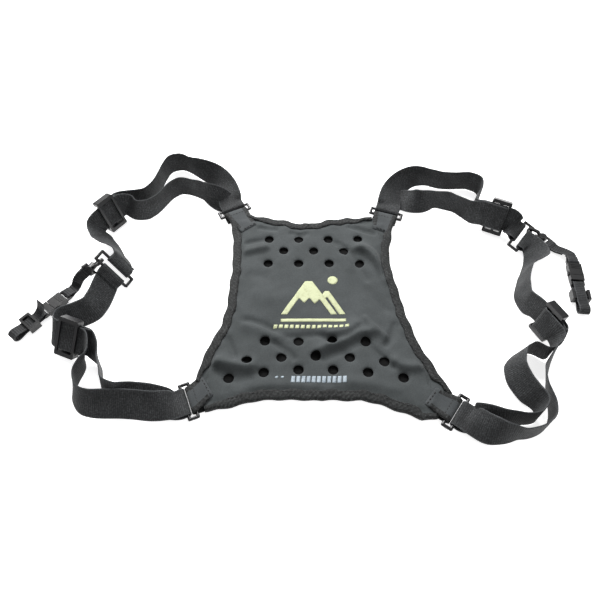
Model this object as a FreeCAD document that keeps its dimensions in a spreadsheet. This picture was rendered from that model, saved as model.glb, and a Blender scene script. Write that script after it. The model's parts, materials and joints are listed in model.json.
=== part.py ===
import FreeCAD, Part
import math
import os

# Binocular harness pack: a vented back yoke with four elastic webbing straps,
# laid out flat on a table. +Z is up, the back face of the yoke is at z = 0 and
# the origin is the middle of the yoke. All sizes in millimetres.

V = FreeCAD.Vector
doc = FreeCAD.newDocument("harness")

# ---------------------------------------------------------------- sizes
SIZES = [
    ("web_wide", 25.4, "width of the strap webbing"),
    ("web_thick", 1.4, "thickness of the strap webbing"),
    ("narrow_wide", 10.0, "width of the narrow connector webbing"),
    ("narrow_thick", 1.2, "thickness of the narrow connector webbing"),
    ("binding_wide", 9.0, "visible width of the edge binding"),
    ("binding_skin", 1.0, "wall of the binding round the outer edge"),
    ("mesh_top", 1.2, "height of the top of the back mesh"),
    ("shell_base", 3.8, "height of the underside of the front shell"),
    ("shell_top", 5.0, "height of the top of the front shell"),
    ("seam_low", 0.8, "underside of the squeezed edge inside the binding"),
    ("seam_high", 4.2, "top of the squeezed edge inside the binding"),
    ("binding_top", 5.4, "height of the top of the binding"),
    ("tab_top", 6.2, "height of the top of the corner tabs"),
    ("vent_radius", 4.75, "radius of a vent hole"),
    ("ring_bar", 3.0, "thickness of the bars of every ring"),
    ("corner_ring_long", 36.0, "outer length of a corner ring"),
    ("corner_ring_pitch", 7.5, "distance between the long bars of a corner ring"),
    ("front_ring_long", 42.0, "outer length of a front ring"),
    ("front_ring_pitch", 10.0, "distance between the long bars of a front ring"),
    ("fold_wide", 20.0, "width of the tab fold round the corner ring"),
    ("fold_reach", 3.8, "flat part of the tab fold behind the ring bar"),
    ("slider_long", 36.0, "outer length of a strap slider"),
    ("slider_half", 10.0, "half of the slider size along the strap"),
    ("slider_rail", 3.8, "width of a slider side rail"),
    ("slider_floor", 1.2, "half thickness of the slider centre bar"),
    ("slider_lip", 4.9, "underside of the slider outer bars"),
    ("slider_roof", 6.9, "top of the slider outer bars"),
    ("hook_reach", 13.0, "from the ring bar to the pivot of the snap hook"),
    ("hook_outer", 4.4, "outer radius of the hook loop"),
    ("hook_inner", 2.2, "inner radius of the hook loop"),
    ("hook_slot", 5.5, "straight part of the hook loop"),
    ("hook_half", 1.5, "half thickness of the hook loop"),
    ("clip_reach", 8.0, "from the pivot to the web bar of the clip"),
    ("buckle_wide", 13.0, "width of the small buckle"),
    ("cheek", 1.1, "thickness of the buckle cheeks beside the webbing"),
    ("buckle_thick", 6.0, "thickness of the small buckle"),
    ("socket_long", 14.0, "length of the buckle socket body"),
    ("plug_long", 6.0, "length of the plug shoulder"),
    ("mini_wide", 17.0, "outer width of the small slider"),
    ("mini_half", 5.5, "half of the small slider size along the webbing"),
]
S = {name: value for name, value, note in SIZES}

sheet = doc.addObject("Spreadsheet::Sheet", "Sizes")
for row, (name, value, note) in enumerate(SIZES, start=1):
    sheet.set("A%d" % row, name.replace("_", " "))
    sheet.set("B%d" % row, str(value))
    sheet.set("C%d" % row, note)
    sheet.setAlias("B%d" % row, name)
doc.recompute()


def bind(item, prop, formula):
    """Bind a property to a formula in which words are names in the sheet."""
    text = ""
    word = ""
    for letter in formula + " ":
        if letter.isalpha() or letter == "_":
            word += letter
            continue
        if word:
            text += "Sizes." + word
            word = ""
        text += letter
    item.setExpression(prop, text.strip())


NODES = {}


def node(item, label):
    """Name a finished sub-part."""
    item.Label = label
    NODES[label] = item
    return item


# ---------------------------------------------------------------- small builders
def box(name, sizes, corner):
    item = doc.addObject("Part::Box", name)
    for prop, formula in zip(("Length", "Width", "Height"), sizes):
        bind(item, prop, formula)
    for prop, formula in zip("xyz", corner):
        bind(item, ".Placement.Base." + prop, formula)
    return item


def rod(name, radius, length, centre, along):
    """A round bar centred on a point, along x, y or z."""
    item = doc.addObject("Part::Cylinder", name)
    bind(item, "Radius", radius)
    bind(item, "Height", length)
    turn = {"z": V(0, 0, 1), "x": V(1, 0, 0), "y": V(0, 1, 0)}[along]
    item.Placement.Rotation = FreeCAD.Rotation(V(0, 0, 1), turn)
    start = {axis: formula for axis, formula in zip("xyz", centre)}
    start[along] = start[along] + " - (" + length + ") / 2"
    for prop in "xyz":
        bind(item, ".Placement.Base." + prop, start[prop])
    return item


def join(name, items):
    item = doc.addObject("Part::MultiFuse", name)
    item.Shapes = items
    return item


def cut(name, base, tools):
    item = doc.addObject("Part::Cut", name)
    item.Base = base
    item.Tool = tools[0] if len(tools) == 1 else join(name + "_tools", tools)
    return item


def common(name, base, tool):
    item = doc.addObject("Part::Common", name)
    item.Base = base
    item.Tool = tool
    return item


# ---------------------------------------------------------------- frames
def unit(vector):
    return V(vector).normalize()


def placement(origin, along, across):
    """Local x runs along, local y runs across, local z completes the set."""
    x_axis = unit(along)
    z_axis = unit(x_axis.cross(across))
    y_axis = z_axis.cross(x_axis)
    grid = FreeCAD.Matrix(
        x_axis.x, y_axis.x, z_axis.x, origin.x,
        x_axis.y, y_axis.y, z_axis.y, origin.y,
        x_axis.z, y_axis.z, z_axis.z, origin.z,
        0, 0, 0, 1)
    return FreeCAD.Placement(grid)


def width_way(travel, lean):
    """Direction of the strap width; lean is the angle from upright to the right."""
    flat = unit(V(travel.x, travel.y, 0))
    right = V(flat.y, -flat.x, 0)
    rise = right.cross(unit(travel))
    turn = math.radians(lean)
    return unit(right * math.sin(turn) + rise * math.cos(turn))


class Seat:
    """Where a piece of hardware sits: origin, travel way, width way, normal."""

    def __init__(self, origin, travel, lean):
        self.origin = V(*origin)
        self.travel = unit(V(*travel))
        self.width = width_way(self.travel, lean)
        self.normal = unit(self.width.cross(self.travel))

    def at(self, along, over, sideways=0.0):
        move = self.travel * along + self.normal * over + self.width * sideways
        return self.origin + move

    def place(self):
        """Local x = travel, local z = normal, local y along the width."""
        return placement(self.origin, self.travel, self.width * -1)


# ---------------------------------------------------------------- ribbons
def smooth(stations, gap):
    """Fill in a smooth run of stations between the given ones."""
    full = []
    last = len(stations) - 1
    for index in range(last):
        p1, w1, keep1 = stations[index]
        p2, w2, keep2 = stations[index + 1]
        full.append((p1, w1, keep1))
        if keep1 and keep2:
            continue
        p0 = stations[max(index - 1, 0)][0]
        p3 = stations[min(index + 2, last)][0]
        span = (p2 - p1).Length
        count = max(1, int(round(span / gap)))
        near = max((p1 - p0).Length, 0.01)
        far = max((p3 - p2).Length, 0.01)
        lead1 = unit((p2 - p1) * (1 / span) + (p1 - p0) * (1 / near)) * span
        lead2 = unit((p3 - p2) * (1 / far) + (p2 - p1) * (1 / span)) * span
        if index == 0:
            lead1 = p2 - p1
        if index + 1 == last:
            lead2 = p2 - p1
        for step in range(1, count):
            s = step / count
            a = 2 * s ** 3 - 3 * s ** 2 + 1
            b = s ** 3 - 2 * s ** 2 + s
            c = 3 * s ** 2 - 2 * s ** 3
            d = s ** 3 - s ** 2
            point = p1 * a + lead1 * b + p2 * c + lead2 * d
            ease = 3 * s ** 2 - 2 * s ** 3
            full.append((point, unit(w1 * (1 - ease) + w2 * ease), False))
    full.append(stations[last])
    return full


TABLE_GAP = 0.2     # lowest height of any strap over the table


def ribbon(stations, wide, thick):
    """A closed solid strap swept through the stations."""
    rings = []
    last = len(stations) - 1
    for index, (point, width, keep) in enumerate(stations):
        before = stations[max(index - 1, 0)][0]
        after = stations[min(index + 1, last)][0]
        travel = unit(after - before)
        # a kept station holds its width way exactly, the others follow the travel
        side = width if keep else unit(width - travel * width.dot(travel))
        normal = unit(travel.cross(side))
        half = side * (wide / 2)
        skin = normal * (thick / 2)
        corners = [point - half - skin, point + half - skin,
                   point + half + skin, point - half + skin]
        # nothing may reach below the table the straps lie on
        sunk = TABLE_GAP - min(corner.z for corner in corners)
        if sunk > 0:
            corners = [corner + V(0, 0, sunk) for corner in corners]
        rings.append(corners)
    # two flat triangles per side between neighbouring sections, and two flat ends;
    # both broad sides are split along the same diagonal so the strap stays even
    outlines = [rings[0], rings[-1]]
    for near, far in zip(rings, rings[1:]):
        for a, b in ((0, 1), (3, 2), (1, 2), (0, 3)):
            outlines.append([near[a], near[b], far[b]])
            outlines.append([near[a], far[b], far[a]])
    faces = [Part.Face(Part.makePolygon(points + [points[0]])) for points in outlines]
    shell = Part.makeShell(faces)
    shell.sewShape()
    solid = Part.makeSolid(shell)
    if solid.Volume < 0:
        solid.reverse()
    return solid


def half_turn(seat, centre_along, radius, start_sign, ahead, shift=0, steps=6):
    """Stations round a bar, from one side of the seat plane to the other."""
    out = []
    for step in range(steps + 1):
        angle = math.pi * step / steps
        along = centre_along + ahead * radius * math.sin(angle)
        over = start_sign * radius * math.cos(angle)
        out.append((seat.at(along, over, shift), seat.width, True))
    return out


def leg(points, start, finish):
    """Free stations given as x, y, z and lean; travel from neighbours."""
    out = []
    vectors = [start] + [V(x, y, z) for x, y, z, lean in points] + [finish]
    for index, (x, y, z, lean) in enumerate(points, start=1):
        travel = vectors[index + 1] - vectors[index - 1]
        out.append((vectors[index], width_way(travel, lean), False))
    return out


WRAP = 2.5          # centre line radius of a strap round a ring bar
LOOP = 2.2          # centre line radius of the sewn loop on a slider bar
LOOP_AHEAD = 5.5    # how far the sewn loop runs on past the slider bar
THROUGH = 3.9       # height of the free leg over the slider bar
STRAP_SHIFT = -2.0  # the straps sit off centre in the front ring, beside the hook
HOOK_SHIFT = 14.6   # the snap hook sits on the same bar, near its end


def strap(name, slider, sewn, corner, ring_side, free, onward, front):
    """One whole strap, from the sewn loop on its slider to the front ring.

    sewn: stations from slider to corner ring.  free: stations back to the
    slider.  onward: stations from the slider to the front ring.
    """
    run = []
    for along, over in ((-20, -0.6), (-16, -0.4), (-12, 1.6), (-9.5, LOOP), (0, LOOP)):
        run.append((slider.at(along, over), slider.width, True))
    run += half_turn(slider, LOOP_AHEAD, LOOP, 1, 1)
    run.append((slider.at(-9.5, -LOOP), slider.width, True))
    run.append((slider.at(-16, -LOOP), slider.width, False))
    ring_in = corner.at(7, ring_side * WRAP)
    ring_out = corner.at(7, -ring_side * WRAP)
    slider_in = slider.at(-15, THROUGH)
    slider_out = slider.at(14, THROUGH)
    bar = -S["front_ring_pitch"] / 2
    front_in = front.at(bar - 5, WRAP, STRAP_SHIFT)
    run += leg(sewn, run[-1][0], ring_in)
    run.append((ring_in, corner.width, True))
    run += half_turn(corner, 0, WRAP, ring_side, -1)
    run.append((ring_out, corner.width, False))
    run += leg(free, ring_out, slider_in)
    run.append((slider_in, slider.width, True))
    run.append((slider_out, slider.width, True))
    run += leg(onward, slider_out, front_in)
    run.append((front_in, front.width, True))
    run += half_turn(front, bar, WRAP, 1, 1, STRAP_SHIFT)
    for along, over in ((-3, -2.0), (-6, 0.2), (-9, 0.9)):
        run.append((front.at(bar + along, over, STRAP_SHIFT), front.width, True))
    # keep the width way from flipping over between stations
    fixed = []
    previous = None
    for point, width, keep in run:
        if previous is not None and previous.dot(width) < 0:
            width = width * -1
        fixed.append((point, width, keep))
        previous = width
    body = doc.addObject("Part::Feature", name)
    body.Shape = ribbon(smooth(fixed, 9.0), S["web_wide"], S["web_thick"])
    return node(body, name)


# ---------------------------------------------------------------- yoke panel
OUTLINE = [
    # top edge, left to right
    (-88, 107), (-71, 116), (-60, 112), (-49, 109), (-26, 106), (-12, 100),
    (12, 105), (37, 110), (52, 109), (67, 111), (88, 104),
    # right edge, going down
    (85, 96), (81, 76), (78, 58), (78, 40), (81, 26), (84, 4), (89, -22),
    (95, -45), (104, -65), (119, -97),
    # bottom edge, right to left
    (103, -119), (89, -120), (76, -114), (55, -106), (40, -102), (16, -102),
    (-10, -102), (-36, -101), (-57, -104), (-71, -108), (-94, -113),
    # left edge, going up
    (-105, -86), (-102, -68), (-94, -43), (-86, -25), (-83, -5), (-82, 20),
    (-81, 43), (-82, 70), (-85, 96),
]
TAB_AREAS = {
    "upper_left": [(-92, 107), (-70, 121), (-61, 117), (-57, 101), (-76, 86), (-90, 88)],
    "upper_right": [(60, 115), (64, 118), (92, 105), (89, 88), (84, 86), (61, 94)],
    "lower_left": [(-110, -84), (-95, -121), (-84, -117), (-86, -100), (-101, -76),
                   (-108, -76)],
    "lower_right": [(123, -94), (102, -125), (90, -124), (91, -108), (106, -89),
                    (116, -84)],
}


def outline_sketch(name, points):
    sketch = doc.addObject("Sketcher::SketchObject", name)
    for index, (x, y) in enumerate(points):
        next_x, next_y = points[(index + 1) % len(points)]
        sketch.addGeometry(Part.LineSegment(V(x, y, 0), V(next_x, next_y, 0)))
    return sketch


def inset(name, source, amount):
    item = doc.addObject("Part::Offset2D", name)
    item.Source = source
    item.Mode = "Pipe"
    item.Join = "Intersection"
    bind(item, "Value", "0 - " + amount)
    return item


def raise_up(name, base, low, high):
    item = doc.addObject("Part::Extrusion", name)
    item.Base = base
    item.DirMode = "Custom"
    item.Dir = V(0, 0, 1)
    item.Solid = True
    bind(item, "LengthFwd", "(" + high + ") - (" + low + ")")
    bind(item, ".Placement.Base.z", low)
    return item


VENT_PITCH = 30.7    # sideways distance between holes in a row
VENT_CENTRE = 1.0    # x of the middle of the hole field
VENT_ROWS = [(79, 4), (63.5, 3), (47, 4), (-44, 4), (-59.5, 5), (-73, 6)]
VENT_SAG = 8.0       # how far the lowest rows droop at their ends


def vent_centres():
    out = []
    for row_y, count in VENT_ROWS:
        for index in range(count):
            across = (index - (count - 1) / 2) * VENT_PITCH
            droop = VENT_SAG * (across / 76) ** 2 if row_y < -50 else 0
            out.append((VENT_CENTRE + across, row_y - droop))
    return out


def build_panel():
    outer = outline_sketch("panel_outline", OUTLINE)
    doc.recompute()
    seam_line = inset("seam_line", outer, "binding_skin")
    inner_line = inset("inner_line", outer, "binding_wide")
    doc.recompute()
    tabs = []
    for corner, points in TAB_AREAS.items():
        area = outline_sketch("tab_area_" + corner, points)
        tabs.append(raise_up("tab_block_" + corner, area, "0", "tab_top"))
    doc.recompute()

    holes = []
    for number, (x, y) in enumerate(vent_centres()):
        hole = doc.addObject("Part::Cylinder", "vent_%d" % number)
        bind(hole, "Radius", "vent_radius")
        hole.Height = 8
        hole.Placement.Base = V(x, y, 1.2)
        holes.append(hole)
    vents = join("vents", holes)

    def zone(name, low, high):
        """The thick middle of the panel, inside the binding and the tabs."""
        block = raise_up(name + "_block", inner_line, low, high)
        corners = []
        for corner in TAB_AREAS:
            area = doc.getObject("tab_area_" + corner)
            corners.append(raise_up(name + "_" + corner, area, "0", "tab_top"))
        return cut(name, block, corners)

    shell_plate = zone("shell_plate", "shell_base", "shell_top")
    shell_edge = raise_up("shell_edge", seam_line, "shell_base", "seam_high")
    node(cut("front_shell", join("shell_solid", [shell_plate, shell_edge]), [vents]),
         "front_shell")

    foam = raise_up("foam_block", seam_line, "mesh_top", "shell_base")
    foam_vents = doc.addObject("Part::Compound", "foam_vents")
    foam_vents.Links = [vents]
    node(cut("foam_core", foam, [foam_vents]), "foam_core")

    mesh_plate = zone("mesh_plate", "0", "mesh_top")
    mesh_edge = raise_up("mesh_edge", seam_line, "seam_low", "mesh_top")
    node(join("back_mesh", [mesh_plate, mesh_edge]), "back_mesh")

    frame = raise_up("binding_block", outer, "0", "binding_top")
    slot = raise_up("binding_slot", seam_line, "seam_low", "seam_high")
    hole = raise_up("binding_window", inner_line, "0", "binding_top")
    band = cut("binding_band", frame, [slot, hole] + tabs)
    spans = {
        "top": ((-72, 82), (140, 45)),
        "bottom": ((-98, -126), (202, 34.5)),
        "left": ((-118, -84), (54, 184)),
        "right": ((66, -92), (54, 185)),
    }
    for side, (corner, size) in spans.items():
        block = doc.addObject("Part::Box", "binding_span_" + side)
        block.Length, block.Width = size
        bind(block, "Height", "binding_top")
        block.Placement.Base = V(corner[0], corner[1], 0)
        node(common("edge_binding_" + side, band, block), "edge_binding_" + side)

    for tab, corner in zip(tabs, TAB_AREAS):
        edge = raise_up("tab_edge_" + corner, outer, "0", "tab_top")
        core = raise_up("tab_core_" + corner, seam_line, "seam_low", "seam_high")
        whole = common("tab_whole_" + corner, tab, edge)
        node(cut("corner_tab_" + corner, whole, [core]), "corner_tab_" + corner)


# ---------------------------------------------------------------- rings and folds
def build_ring(label, long_size, pitch, place):
    """A rectangular ring of round bars, long bars along local y."""
    bars = []
    reach = long_size + " / 2 - ring_bar / 2"
    for number, sign in ((1, "0 - "), (2, "")):
        bars.append(rod(label + "_long_%d" % number, "ring_bar / 2",
                        long_size + " - ring_bar",
                        (sign + pitch + " / 2", "0", "0"), "y"))
        bars.append(rod(label + "_end_%d" % number, "ring_bar / 2", pitch,
                        ("0", sign + "(" + reach + ")", "0"), "x"))
    for along in ("", "0 - "):
        for side in ("", "0 - "):
            ball = doc.addObject("Part::Sphere", label + "_ball")
            bind(ball, "Radius", "ring_bar / 2")
            bind(ball, ".Placement.Base.x", along + pitch + " / 2")
            bind(ball, ".Placement.Base.y", side + "(" + reach + ")")
            bars.append(ball)
    ring = join(label, bars)
    ring.Placement = place
    return node(ring, label)


def build_fold(label, place):
    """The end of a corner tab folded round the inner bar of its ring."""
    tube = rod(label + "_tube", "ring_bar / 2 + 1.4", "fold_wide", ("0", "0", "0"), "y")
    flap = box(label + "_flap", ("fold_reach", "fold_wide", "4.2"),
               ("0 - fold_reach", "0 - fold_wide / 2", "0 - 2.1"))
    bore = rod(label + "_bore", "ring_bar / 2 + 0.2", "fold_wide + 2", ("0", "0", "0"), "y")
    fold = cut(label, join(label + "_solid", [tube, flap]), [bore])
    fold.Placement = place
    return node(fold, label)


# ---------------------------------------------------------------- slider
def build_slider(label, seat):
    """A three-bar slider; the free leg runs between centre and outer bars."""
    parts = []
    for number, sign in ((1, "0 - slider_long / 2"), (2, "slider_long / 2 - slider_rail")):
        parts.append(box(label + "_rail_%d" % number,
                         ("2 * slider_half", "slider_rail", "slider_floor + slider_roof"),
                         ("0 - slider_half", sign, "0 - slider_floor")))
    parts.append(box(label + "_centre", ("3", "slider_long - 2", "2 * slider_floor"),
                     ("0 - 1.5", "0 - slider_long / 2 + 1", "0 - slider_floor")))
    for number, start in ((1, "0 - slider_half"), (2, "slider_half - 2.6")):
        parts.append(box(label + "_outer_%d" % number,
                         ("2.6", "slider_long - 2", "slider_roof - slider_lip"),
                         (start, "0 - slider_long / 2 + 1", "slider_lip")))
    slider = join(label + "_solid", parts)
    doc.recompute()
    soft = doc.addObject("Part::Fillet", label)
    soft.Base = slider
    picked = []
    for number, edge in enumerate(slider.Shape.Edges, start=1):
        low, high = edge.BoundBox.ZMin, edge.BoundBox.ZMax
        upright = high - low > 7
        outside = abs(abs(edge.CenterOfMass.y) - S["slider_long"] / 2) < 0.01
        if upright and outside:
            picked.append((number, 1.6, 1.6))
    soft.Edges = picked
    soft.Placement = seat.place()
    return node(soft, label)


# ---------------------------------------------------------------- optic connector
def turned(place, axis, degrees, shift):
    """The frame reached by moving along local x and then turning."""
    move = FreeCAD.Placement(V(*shift), FreeCAD.Rotation(V(*axis), degrees))
    return place.multiply(move)


def build_hook(side, place):
    """Snap hook: a long loop with an opening closed by the gate, and a pivot eye."""
    name = "snap_hook_" + side
    double = "2 * hook_half"
    solid = [rod(name + "_nose", "hook_outer", double, ("0", "0", "0"), "z"),
             rod(name + "_heel", "hook_outer", double, ("hook_slot", "0", "0"), "z"),
             box(name + "_sides", ("hook_slot", "2 * hook_outer", double),
                 ("0", "0 - hook_outer", "0 - hook_half")),
             box(name + "_neck", ("hook_reach - hook_slot", "4", double),
                 ("hook_slot", "0 - 2", "0 - hook_half")),
             rod(name + "_eye", "3.6", "4", ("hook_reach", "0", "0"), "y")]
    space = [rod(name + "_in_nose", "hook_inner", "6", ("0", "0", "0"), "z"),
             rod(name + "_in_heel", "hook_inner", "6", ("hook_slot", "0", "0"), "z"),
             box(name + "_in_sides", ("hook_slot", "2 * hook_inner", "6"),
                 ("0", "0 - hook_inner", "0 - 3")),
             box(name + "_mouth", ("hook_slot - 2", "3", "6"), ("1.6", "1.9", "0 - 3")),
             box(name + "_fork", ("3.6", "3", "2"), ("hook_slot - 1", "1.9", "0 - 1")),
             rod(name + "_bore", "1.8", "6", ("hook_reach", "0", "0"), "y")]
    hook = cut(name, join(name + "_solid", solid), space)
    hook.Placement = place
    node(hook, name)

    name = "hook_gate_" + side
    hinge_x = "hook_slot + 0.4"
    gate = join(name, [
        box(name + "_leaf", ("hook_slot - 1.5", "1.8", "1.4"), ("1.9", "2.4", "0 - 0.7")),
        rod(name + "_knuckle", "1", "1.4", (hinge_x, "3.3", "0"), "z")])
    gate.Placement = place
    node(gate, name)


def build_clip(side, place):
    """Clip turning on the hook pivot; its far bar carries the narrow band."""
    name = "web_clip_" + side
    plate = box(name + "_plate", ("clip_reach", "2.5", "13"), ("0", "2.1", "0 - 6.5"))
    slot = box(name + "_slot", ("4.3", "4", "10.6"), ("clip_reach - 4.2", "1.5", "0 - 5.3"))
    solid = [cut(name + "_frame", plate, [slot]),
             rod(name + "_eye", "3.6", "2.5", ("0", "3.35", "0"), "y"),
             rod(name + "_pin", "1.5", "6.8", ("0", "1.2", "0"), "y"),
             rod(name + "_bar", "1.2", "13", ("clip_reach", "3.35", "0"), "z")]
    clip = join(name, solid)
    clip.Placement = place
    node(clip, name)


def local_run(place, points, wide_axis):
    width = place.Rotation.multVec(V(*wide_axis))
    return [(place.multVec(V(*point)), width, True) for point in points]


def arc_points(centre, radius, start, sweep, steps=6):
    out = []
    for step in range(steps + 1):
        angle = math.radians(start + sweep * step / steps)
        out.append((centre + radius * math.cos(angle), radius * math.sin(angle), 0))
    return out


def build_band(side, near, far):
    """Narrow band sewn into a loop between the clip bar and the buckle bar."""
    name = "connector_band_" + side
    x_near, y_near, z_near = [near.Rotation.multVec(V(*axis))
                              for axis in ((1, 0, 0), (0, 1, 0), (0, 0, 1))]
    x_far, y_far, z_far = [far.Rotation.multVec(V(*axis))
                           for axis in ((1, 0, 0), (0, 1, 0), (0, 0, 1))]
    if z_near.dot(z_far) < 0:
        raise SystemExit("band ends face opposite ways: " + side)
    start = near.Base + x_near * 7
    finish = far.Base - x_far * 7
    span = (finish - start).Length
    middle = []
    for step in range(1, 6):
        s = step / 6
        a, b = 2 * s ** 3 - 3 * s ** 2 + 1, s ** 3 - 2 * s ** 2 + s
        c, d = 3 * s ** 2 - 2 * s ** 3, s ** 3 - s ** 2
        point = start * a + x_near * (b * span) + finish * c + x_far * (d * span)
        width = unit(z_near * (1 - s) + z_far * s)
        up = unit(y_near * (1 - s) + y_far * s)
        middle.append((point, width, up))
    run = []
    for point, width, up in reversed(middle[:3]):
        run.append((point + up * 0.75, width, False))
    run += local_run(near, [(7, 0.8, 0), (4, 1.9, 0)] + arc_points(0, 2.1, 90, 180),
                     (0, 0, 1))
    run += local_run(near, [(4, -1.9, 0), (7, -0.8, 0)], (0, 0, 1))
    for point, width, up in middle:
        run.append((point - up * 0.75, width, False))
    run += local_run(far, [(-7, -0.8, 0), (-4, -1.9, 0)], (0, 0, 1))
    run += local_run(far, arc_points(0, 2.1, -90, 180), (0, 0, 1))
    run += local_run(far, [(-4, 1.9, 0), (-7, 0.8, 0)], (0, 0, 1))
    point, width, up = middle[4]
    run.append((point + up * 0.75, width, False))
    body = doc.addObject("Part::Feature", name)
    body.Shape = ribbon(run, S["narrow_wide"], S["narrow_thick"])
    node(body, name)


def build_buckle(side, place):
    """Small side-release buckle: socket on the band, plug on the optic webbing."""
    name = "buckle_socket_" + side
    half_w, half_t = "buckle_wide / 2", "buckle_thick / 2"
    solid = [rod(name + "_bar", "1.2", "buckle_wide", ("0", "0", "0"), "z"),
             box(name + "_body", ("socket_long", "buckle_thick", "buckle_wide"),
                 ("3.6", "0 - " + half_t, "0 - " + half_w))]
    for number, sign in ((1, "0 - " + half_w), (2, half_w + " - cheek")):
        solid.append(box(name + "_cheek_%d" % number, ("5.6", "2.4", "cheek"),
                         ("0 - 1.2", "0 - 1.2", sign)))
    for number in range(3):
        solid.append(box(name + "_rib_%d" % number, ("1", "buckle_thick + 0.8", "9"),
                         ("%g" % (4.6 + 2 * number), "0 - " + half_t + " - 0.4", "0 - 4.5")))
    space = [box(name + "_bore", ("socket_long", "3.4", "9"),
                 ("6.6", "0 - 1.7", "0 - 4.5")),
             box(name + "_windows", ("5.5", "3.4", "20"),
                 ("3.6 + socket_long - 5", "0 - 1.7", "0 - 10"))]
    socket = cut(name, join(name + "_solid", solid), space)
    socket.Placement = place
    node(socket, name)

    name = "buckle_plug_" + side
    face = "4 + socket_long"
    solid = [box(name + "_shoulder", ("plug_long", "buckle_thick", "buckle_wide"),
                 (face, "0 - " + half_t, "0 - " + half_w)),
             box(name + "_guide", ("8", "2.6", "1.6"),
                 (face + " - 8", "0 - 1.3", "0 - 0.8")),
             rod(name + "_bar", "1.2", "buckle_wide",
                 (face + " + plug_long + 3.4", "0", "0"), "z")]
    for number, sign in ((1, 1), (2, -1)):
        arm = "2.3" if sign > 0 else "0 - 4.1"
        lug = "4" if sign > 0 else "0 - 7.6"
        rail = half_w + " - cheek" if sign > 0 else "0 - " + half_w
        solid.append(box(name + "_arm_%d" % number, ("10.5", "2.6", "1.8"),
                         (face + " - 10.4", "0 - 1.3", arm)))
        solid.append(box(name + "_lug_%d" % number, ("3.4", "2.6", "3.6"),
                         (face + " - 4.4", "0 - 1.3", lug)))
        solid.append(box(name + "_cheek_%d" % number, ("5", "2.4", "cheek"),
                         (face + " + plug_long - 0.2", "0 - 1.2", rail)))
    plug = join(name, solid)
    plug.Placement = place
    node(plug, name)


def build_optic_web(side, place, tail):
    """Narrow webbing: sewn on the plug bar, through the small slider, round the
    optic lug loop and back out as a tail."""
    name = "optic_web_" + side
    start = 4 + S["socket_long"] + S["plug_long"] + 3.4
    mid = start + 14
    points = [(start + 9, 0.6, 0), (start + 6, 0.8, 0), (start + 3, 1.9, 0)]
    points += arc_points(start, 2.1, 90, 180)
    points += [(start + 4, -2.1, 0), (mid + 8, -2.1, 0), (mid + 12, -2.9, 0)]
    points += [(mid + 16, -3.6, 0), (mid + 19, -2.6, 0), (mid + 20.4, 0, 0)]
    points += [(mid + 19, 2.6, 0), (mid + 16, 3.6, 0), (mid + 12, 2.9, 0)]
    points += [(mid + 8, 2.1, 0), (mid - 7.5, 2.1, 0)]
    points += tail
    body = doc.addObject("Part::Feature", name)
    body.Shape = ribbon(local_run(place, points, (0, 0, 1)),
                        S["narrow_wide"], S["narrow_thick"])
    node(body, name)


def build_mini_slider(side, place):
    """Ladder slider holding both runs of the narrow webbing."""
    name = "optic_slider_" + side
    start = "(4 + socket_long + plug_long + 3.4 + 14)"
    parts = []
    for number, sign in ((1, "0 - mini_wide / 2"), (2, "mini_wide / 2 - 2.6")):
        parts.append(box(name + "_rail_%d" % number, ("2 * mini_half", "7.8", "2.6"),
                         (start + " - mini_half", "0 - 3.4", sign)))
    parts.append(box(name + "_centre", ("3", "2.2", "mini_wide - 2"),
                     (start + " - 1.5", "0 - 1.1", "0 - mini_wide / 2 + 1")))
    for number, shift in ((1, " - mini_half"), (2, " + mini_half - 2")):
        parts.append(box(name + "_outer_%d" % number, ("2", "1.3", "mini_wide - 2"),
                         (start + shift, "3.1", "0 - mini_wide / 2 + 1")))
    slider = join(name, parts)
    slider.Placement = place
    node(slider, name)


def build_connector(side, ring, hook_way, clip_turn, band_way, buckle, tail):
    """The whole chain hanging from the outer bar of a front ring."""
    bar_point = ring.at(S["front_ring_pitch"] / 2, 0, HOOK_SHIFT)
    hook_way = hook_way - ring.width * hook_way.dot(ring.width)
    hook_place = placement(bar_point, hook_way, ring.width.cross(hook_way))
    build_hook(side, hook_place)
    clip_place = turned(hook_place, (0, 1, 0), clip_turn, (S["hook_reach"], 0, 0))
    build_clip(side, clip_place)
    clip_bar = clip_place.multVec(V(S["clip_reach"], 3.35, 0))
    bar_way = clip_place.Rotation.multVec(V(0, 0, 1))
    band_way = band_way - bar_way * band_way.dot(bar_way)
    band_place = placement(clip_bar, band_way, bar_way.cross(band_way))
    point, along, across = buckle
    buckle_place = placement(V(*point), V(*along), V(*across))
    build_band(side, band_place, buckle_place)
    build_buckle(side, buckle_place)
    build_optic_web(side, buckle_place, tail)
    build_mini_slider(side, buckle_place)
    for label, place in (("hook", hook_place), ("clip", clip_place),
                         ("band", band_place), ("buckle", buckle_place)):
        JOINTS["%s_%s" % (label, side)] = place


# ---------------------------------------------------------------- the two sides
JOINTS = {}

SLIDERS = {
    "upper_left": Seat((-213, 104, 18.5), (-0.6, -0.8, 0), 18),
    "lower_left": Seat((-218, -46, 16), (-0.93, 0.37, 0), 42),
    "upper_right": Seat((191, 96, 19.5), (0.9, -0.43, 0), -30),
    "lower_right": Seat((209, -33, 19.5), (-0.45, 0.89, 0), 192),
}
# middle of the outer bar of each corner ring, and the way out from the tab
CORNERS = {
    "upper_left": Seat((-85.5, 123.5, 3.6), (-0.45, 0.9, 0), 90),
    "lower_left": Seat((-111.5, -104.5, 3.6), (-0.93, -0.38, 0), 90),
    "upper_right": Seat((81, 119.5, 3.6), (0.32, 0.95, 0), -90),
    "lower_right": Seat((121.5, -115, 3.6), (0.81, -0.59, 0), -90),
}
RINGS = {
    "left": Seat((-193, 29, 18), (-0.45, -0.89, 0), 42),
    "right": Seat((216, 80, 8), (0.75, -0.6, -0.26), -90),
}


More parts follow.
